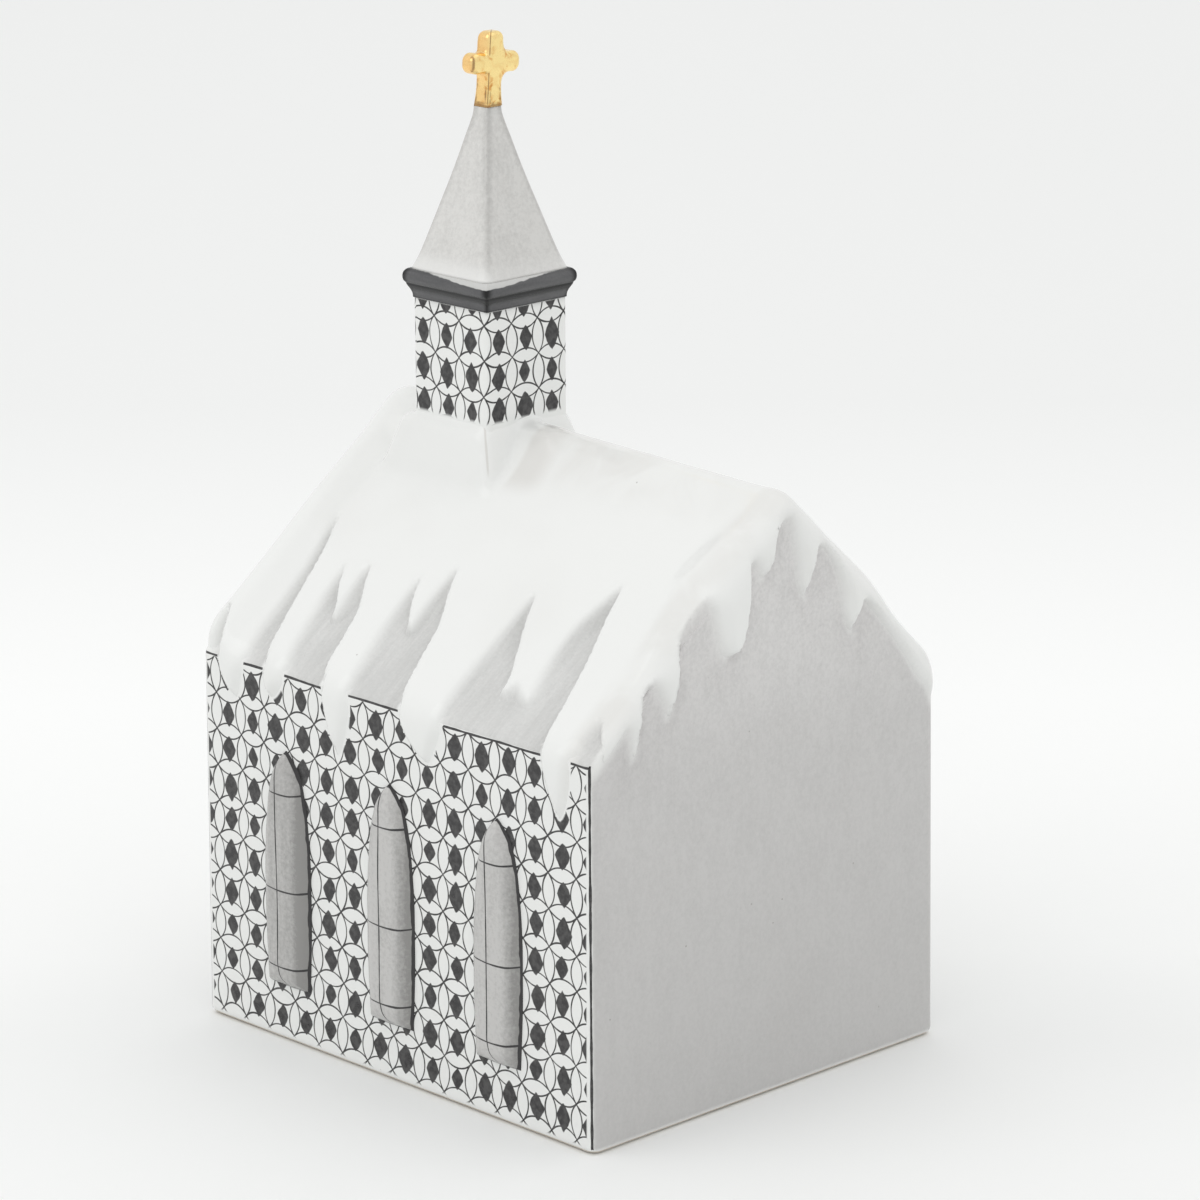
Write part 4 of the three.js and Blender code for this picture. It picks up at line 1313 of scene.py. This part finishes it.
lancet = pane_tree("lancet pane rule",
    [(0, .9), (.1, .94), (.3, 1), (.5, 1), (.7, .9), (.83, .76), (.9, .6), (.95, .38), (1, 0)],
    [("Width", 10.2 * MM), ("Height", 37 * MM), ("Relief", 1.75 * MM), ("Soft Edge", 2.3 * MM)])
print(lancet.name + ":", len(lancet.nodes), "nodes")


# %% Painted panes
def pane_ground(tree, where):
    paint = wire(tree, "ShaderNodeAttribute", output="Vector", attribute_name="pane")
    x, y, height = axes_of(tree, paint)
    sway = noise(tree, where, 35.0, 1.0)
    sway = (sway - 0.5) * (1.6 * MM)
    tone = wash_tone(tree, where, (900.0, 900.0, 110.0))
    # painted shade: each pane's grey darkens toward its right flank
    shade = tone * 0.5 + ramp(tree, x, 1.6 * MM, 5 * MM, 0.0, 0.95)
    # the wash was mixed anew for each window
    mixed = ramp(tree, axes_of(tree, where)[0], -18 * MM, -6 * MM, 0.22, -0.16)
    shade = calc(tree, "ADD", shade + mixed, gritty(tree, where, 1.2), clamp=True)
    grey = blend(tree, shade, linear(202, 201, 199), linear(150, 149, 147))
    # the upright bar stands left of the middle and sweeps to the right at the foot
    foot = larger(tree, 4.5 * MM - y, 0.0)
    upright = x - (-0.9 * MM + sway + foot * foot * 90.0)
    ink = pen_ink(tree, where, upright, 0.24 * MM)
    thick = ramp(tree, x, -4 * MM, 4 * MM, 0.16 * MM, 0.3 * MM)
    for level in (30.8, 15.6, 3.6):
        sag = x * x * 18.0
        bar = y - ((level - 0.2) * MM + sway * 0.5 + sag)
        ink = larger(tree, ink, pen_ink(tree, where, bar, thick))
    # outline: heavy on the right and at the foot, thin on the left
    heavy = ramp(tree, x, -1.5 * MM, 1.5 * MM, 0.42 * MM, 0.85 * MM)
    rim = pen_ink(tree, where, height, heavy)
    sill = pen_ink(tree, where, y - 0.1 * MM, 0.4 * MM)
    ink = larger(tree, ink, larger(tree, rim, sill))
    return blend(tree, ink, grey, ink_black)


window_wash = glazed("window_wash", pane_ground, waves=0.02, pinholes=0.03, roughness=0.2)
window_spacing = 23 * MM
for wall, turn, way in (("left", 0.0, 1), ("right", math.pi, -1)):
    for order, place in enumerate(("rear", "middle", "front")):
        spot = {"Along": (order - 1) * way * window_spacing, "Turn": turn}
        pane = grown(f"pane_{wall}_{place}", lancet, {**spot, "Glaze": window_wash})
        stands_for(pane, f"window_{wall}_{place}")

# %% [markdown]
# ## The door
#
# It stands on the gable below the tower and is the same kind of cushion, only wider and flatter, so
# it comes from the same tree with other sizes and another outline. The planks are painted lines.

# %% Door
door_rule = pane_tree("door rule", [(0, 1), (.4, 1), (.6333, 1), (.75, .86), (.85, .64), (.93, .38), (1, 0)],
    [("Width", 15 * MM), ("Height", 30 * MM), ("Relief", 1.0 * MM), ("Soft Edge", 1.5 * MM)])


def door_ground(tree, where):
    x, _, height = axes_of(tree, wire(tree, "ShaderNodeAttribute", output="Vector", attribute_name="pane"))
    tone = wash_tone(tree, where, (800.0, 800.0, 90.0))
    wood = blend(tree, tone, linear(84, 84, 86), linear(58, 58, 60))
    plank = abs(calc(tree, "FRACT", x / (3 * MM) + 0.5) - 0.5) - 0.5
    lines = pen_ink(tree, where, plank * (3 * MM), 0.2 * MM)
    rim = pen_ink(tree, where, height, 0.5 * MM)
    return blend(tree, larger(tree, lines, rim), wood, linear(24, 24, 26))


door_glaze = glazed("door_glaze", door_ground, waves=0.02, pinholes=0.02)
spot = {"Sill": 1.6 * MM, "Away": wall_length / 2 * MM, "Turn": -math.pi / 2}
door = grown("door", door_rule, {**spot, "Glaze": door_glaze})
stands_for(door, "entrance_door")

# %% [markdown]
# ## The gilded cross
#
# Gold is painted on last, as a thin bright film over the white cross. The cross is modelled by
# hand, so its limbs are soft pillows that run into each other. That is again a field: two limbs
# with a smooth join, skinned with very small cubes. The film is rubbed through on the edges, and
# the edges are also painted darker as painted shade, so the material needs to know where they are:
# a value called edge says how near a point is to one, measured by how deep the field is just under
# the surface. A second value paints the faces toward +X and +Y a paler gold, as painted light.

# %% Field of the cross
cross_foot, cross_top, arm_height = 138.25, 149.5, 144.8
arm_near, arm_far = -4.65, 5.1


def rounded(parts, soft):
    """Where several half-spaces meet, with their edges rounded by soft."""
    q = np.stack(parts) + soft
    return np.sqrt((np.maximum(q, 0) ** 2).sum(0)) + np.minimum(q.max(0), 0) - soft


def bar(low, high, along, across, half, soft):
    return rounded([np.maximum(low - along, along - high), np.abs(across) - half], soft)


def cross_field(x, y, z):
    t = np.clip((z - cross_foot) / (cross_top - cross_foot), 0, 1)
    x, y = x - tower_x - 0.05 - 0.4 * t, y - ridge_shift - 0.05 - 0.4 * t
    breadth = 1.62 - 0.16 * np.sin(np.pi * np.clip(t / 0.5, 0, 1))
    outward = np.where(y < 0, y / arm_near, y / arm_far)
    swell = 0.2 * np.exp(-((outward - 0.75) / 0.25) ** 2)
    stem = bar(cross_foot - 2, cross_top, z, y, breadth, 1.1)
    arms = bar(arm_near, arm_far, y, z - arm_height + 0.05 * y, 1.36 + swell, 1.2)
    face = smooth_min(stem, arms, 0.9 + 1.3 * step01(y, -1, 1))
    soft = 0.45 + 0.45 * step01(t, 0.1, 0.6) + 0.2 * step01(t, 0.82, 1)
    thick = np.abs(x) - breadth + 0.12 * step01(outward, 0.5, 1)
    return np.maximum(rounded([thick, face], soft), cross_foot - z)


low, high = (tower_x - 2.6, ridge_shift - 5.4, 137.6), (tower_x + 2.8, ridge_shift + 6.0, 150.8)
cross_step = 0.16
points, quads = skin(cross_field, low, high, cross_step)
points = settled(points, cross_field, reach=0.02, most=0.08)
slope = slope_of(cross_field, points, 0.02)
slope /= np.maximum(np.linalg.norm(slope, axis=1, keepdims=True), 1e-9)
edge = np.clip((cross_field(*(points - 1.1 * slope).T) + 1.1) / 0.5, 0, 1)
# how far each point faces +X and +Y, for painted light on the gold
lit_side = np.clip(0.6 + 0.35 * (slope[:, 0] + 0.9 * slope[:, 1] + 0.15 * slope[:, 2]), 0, 1)
print("cross edge value:", edge.min().round(2), "to", edge.max().round(2))

# %% Gilding
gilding, tree, shader, where = new_material("gilding")
surface = placed(tree, glaze_skin, {"Place": where, "Waves": 0.02, "Pinholes": 0.1})[0]
rub = noise(tree, where, 900.0, 3.0)
film_and_light = noise(tree, where, 420.0, 2.0)
x, y, z = axes_of(tree, where)
lean = (z - cross_foot * MM) * 0.04
off_x = x - tower_x * MM
off_y = y - ridge_shift * MM - lean
past_arris = off_x - (lean + 0.1 * MM) + off_y
arris = pen_ink(tree, where, past_arris, 0.2 * MM)
arris = arris * ramp(tree, abs(off_y), 1.6 * MM, 1.9 * MM, 1.0, 0.0)
root = ramp(tree, abs(off_y + 4.35 * MM), 0.05 * MM, 0.22 * MM, 1.0, 0.0)
root = root * ramp(tree, off_x, 0.7 * MM, 1.1 * MM)
from_arm = abs(z - arm_height * MM)
clear_of_arm = ramp(tree, from_arm, 1.1 * MM, 1.5 * MM)
arris = arris * clear_of_arm
root = root * ramp(tree, rub, 0.35, 0.5)
foot = ramp(tree, z, (cross_foot + 0.1) * MM, (cross_foot + 0.5) * MM, 0.36, 0.0)
# brown where the gold is rubbed through and at its foot; the edge share also darkens the rims as painted
# shade
wear_and_painted_light = read(tree, "edge") * 0.6 + (rub * 0.6 + foot)
wear_and_painted_light = ramp(tree, wear_and_painted_light, 0.75, 1.05)
wear_and_painted_light = larger(tree, wear_and_painted_light, larger(tree, arris * ramp(tree, rub, 0.2, 0.5, 0.35, 1.0), root))
# painted light: faces toward +X and +Y get the paler gold, faces away the deeper one, over the gold's own
# blotches
film_and_light = film_and_light * 0.7 + (0.75 - read(tree, "lit_side"))
gold = blend(tree, ramp(tree, film_and_light, 0.3, 0.95), (1.0, 0.785, 0.35, 1), (0.97, 0.64, 0.27, 1))
brushed = noise(tree, where, 650.0, 4.0, Distortion=1.5)
# streaks of deeper orange, strongest near the edges, where they are partly painted shade
thick = ramp(tree, brushed, 0.4, 0.66) * ramp(tree, read(tree, "edge"), 0.05, 0.8, 0.18, 1.0)
gold = blend(tree, thick, gold, (0.74, 0.36, 0.10, 1))
link(blend(tree, wear_and_painted_light * 0.8, gold, (0.3, 0.16, 0.07, 1)), shader["Base Color"])
link(ramp(tree, rub, 0.3, 0.7, 0.16, 0.34), shader["Roughness"])
link(bump(tree, surface), shader["Normal"])
shader["Metallic"].default_value = 1.0
cross = piece_from("gilded_cross", points, quads, [gilding], {"edge": edge, "lit_side": lit_side})
stands_for(cross, "cross")

# %% [markdown]
# ## The floor plate
#
# The underside is closed by a plate with a vent hole and stays unglazed: dry, slightly rough and
# warmer than the glaze. The shape of the CAD part is right as it is, so it only gets its finish.

# %% Bare porcelain
bare, tree, shader, where = new_material("bare_porcelain")
stain = wash_tone(tree, where, (90.0, 90.0, 90.0))
surface = placed(tree, glaze_skin, {"Place": where, "Waves": 0.01, "Pinholes": 0.2})[0]
link(blend(tree, stain, linear(228, 223, 213), linear(204, 196, 184)), shader["Base Color"])
link(bump(tree, surface), shader["Normal"])
shader["Roughness"].default_value = 0.75
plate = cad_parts["base_floor"]
plate.data.materials.clear()
plate.data.materials.append(bare)
print("floor plate carries", plate.data.materials[0].name)

# %% [markdown]
# ## Studio
#
# A white object on white needs light from everywhere and only a little more from one side, so that
# its own greys do the drawing. The world is the white tent, one large lamp stands high on the left,
# and a fainter one hangs straight above.

# %% Floor, world and lamps
def pale_floor():
    """Seen by the camera, the floor is a little whiter where the tent's far wall would light it."""
    made, tree, shader, where = new_material("studio_floor")
    from_camera = (-math.sin(azimuth), math.cos(azimuth), 0)
    away = wire(tree, "ShaderNodeVectorMath", {0: where, 1: from_camera},
                output="Value", operation="DOT_PRODUCT")
    tone = node(tree, "ShaderNodeValToRGB", {0: wire(tree, "ShaderNodeMapRange", {0: away, 1: -0.2, 2: 1.2})})
    # how far behind the object, in metres, and how bright, from 0 to 255
    stops = [(-0.2, 246), (-0.06, 249), (-0.01, 247), (0.03, 252), (0.085, 252), (0.17, 254),
             (0.41, 245), (0.9, 248), (1.2, 248)]
    made_stops = tone.color_ramp.elements
    for k, (distance, level) in enumerate(stops):
        at = (distance + 0.2) / 1.4
        if k == 0:
            stop = made_stops[0]
        elif k == len(stops) - 1:
            stop = made_stops[-1]
        else:
            stop = made_stops.new(at)
        stop.position, stop.color = at, linear(level, min(level + 1, 255), level)
    speck = noise(tree, where, 300.0, 3.0)
    plain = blend(tree, ramp(tree, speck, 0.3, 0.7), linear(228, 229, 228), linear(233, 234, 233))
    ray = wires(tree, tree.nodes.new("ShaderNodeLightPath"))
    seen = larger(tree, ray["Is Camera Ray"], larger(tree, ray["Is Glossy Ray"], ray["Is Transmission Ray"]))
    link(blend(tree, seen, plain, Wire(tree, tone.outputs[0])), shader["Base Color"])
    shader["Emission Color"].default_value = (1, 1, 1, 1)
    link(seen * ramp(tree, away, 0.15, 0.41, 0.01, 0.0), shader["Emission Strength"])
    shader["Roughness"].default_value = 0.7
    return made


floor_mesh = bpy.data.meshes.new("studio_floor")
floor_radius, floor_sides = 4, 96
turns = [2 * math.pi * k / floor_sides for k in range(floor_sides)]
rim = [(floor_radius * math.cos(a), floor_radius * math.sin(a), 0) for a in turns]
floor_mesh.from_pydata(rim, [], [list(range(floor_sides))])
floor_mesh.materials.append(pale_floor())
floor = bpy.data.objects.new("studio_floor", floor_mesh)
bpy.context.scene.collection.objects.link(floor)
floor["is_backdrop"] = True

world = bpy.data.worlds.new("white_tent")
world.use_nodes = True
bpy.context.scene.world = world
sky = world.node_tree.nodes["Background"]
sky.inputs["Color"].default_value = (1.0, 1.0, 1.0, 1)
sky.inputs["Strength"].default_value = 0.88


def lamp(name, spot, aim, size, power):
    made = bpy.data.objects.new(name, bpy.data.lights.new(name, "AREA"))
    made.data.shape, made.data.size, made.data.size_y = "RECTANGLE", size[0], size[1]
    made.data.energy = power
    made.location = spot
    made.rotation_euler = (Vector(aim) - Vector(spot)).to_track_quat("-Z", "Y").to_euler()
    bpy.context.scene.collection.objects.link(made)
    return made


lamp("key_softbox", (-0.35, -0.75, 0.75), (0, 0, 0.06), (0.7, 0.7), 1.05)
lamp("top_softbox", (0.1, 0.1, 1.0), (0, 0, 0), (0.9, 0.9), 0.75)

# %% Bounding boxes of the CAD parts and of the visual pieces
boxes = {"cad": [list(corner) for corner in cad_box], "visual": [list(corner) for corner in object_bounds()]}
print("visual box, mm:", [round(v / MM, 1) for corner in boxes["visual"] for v in corner])
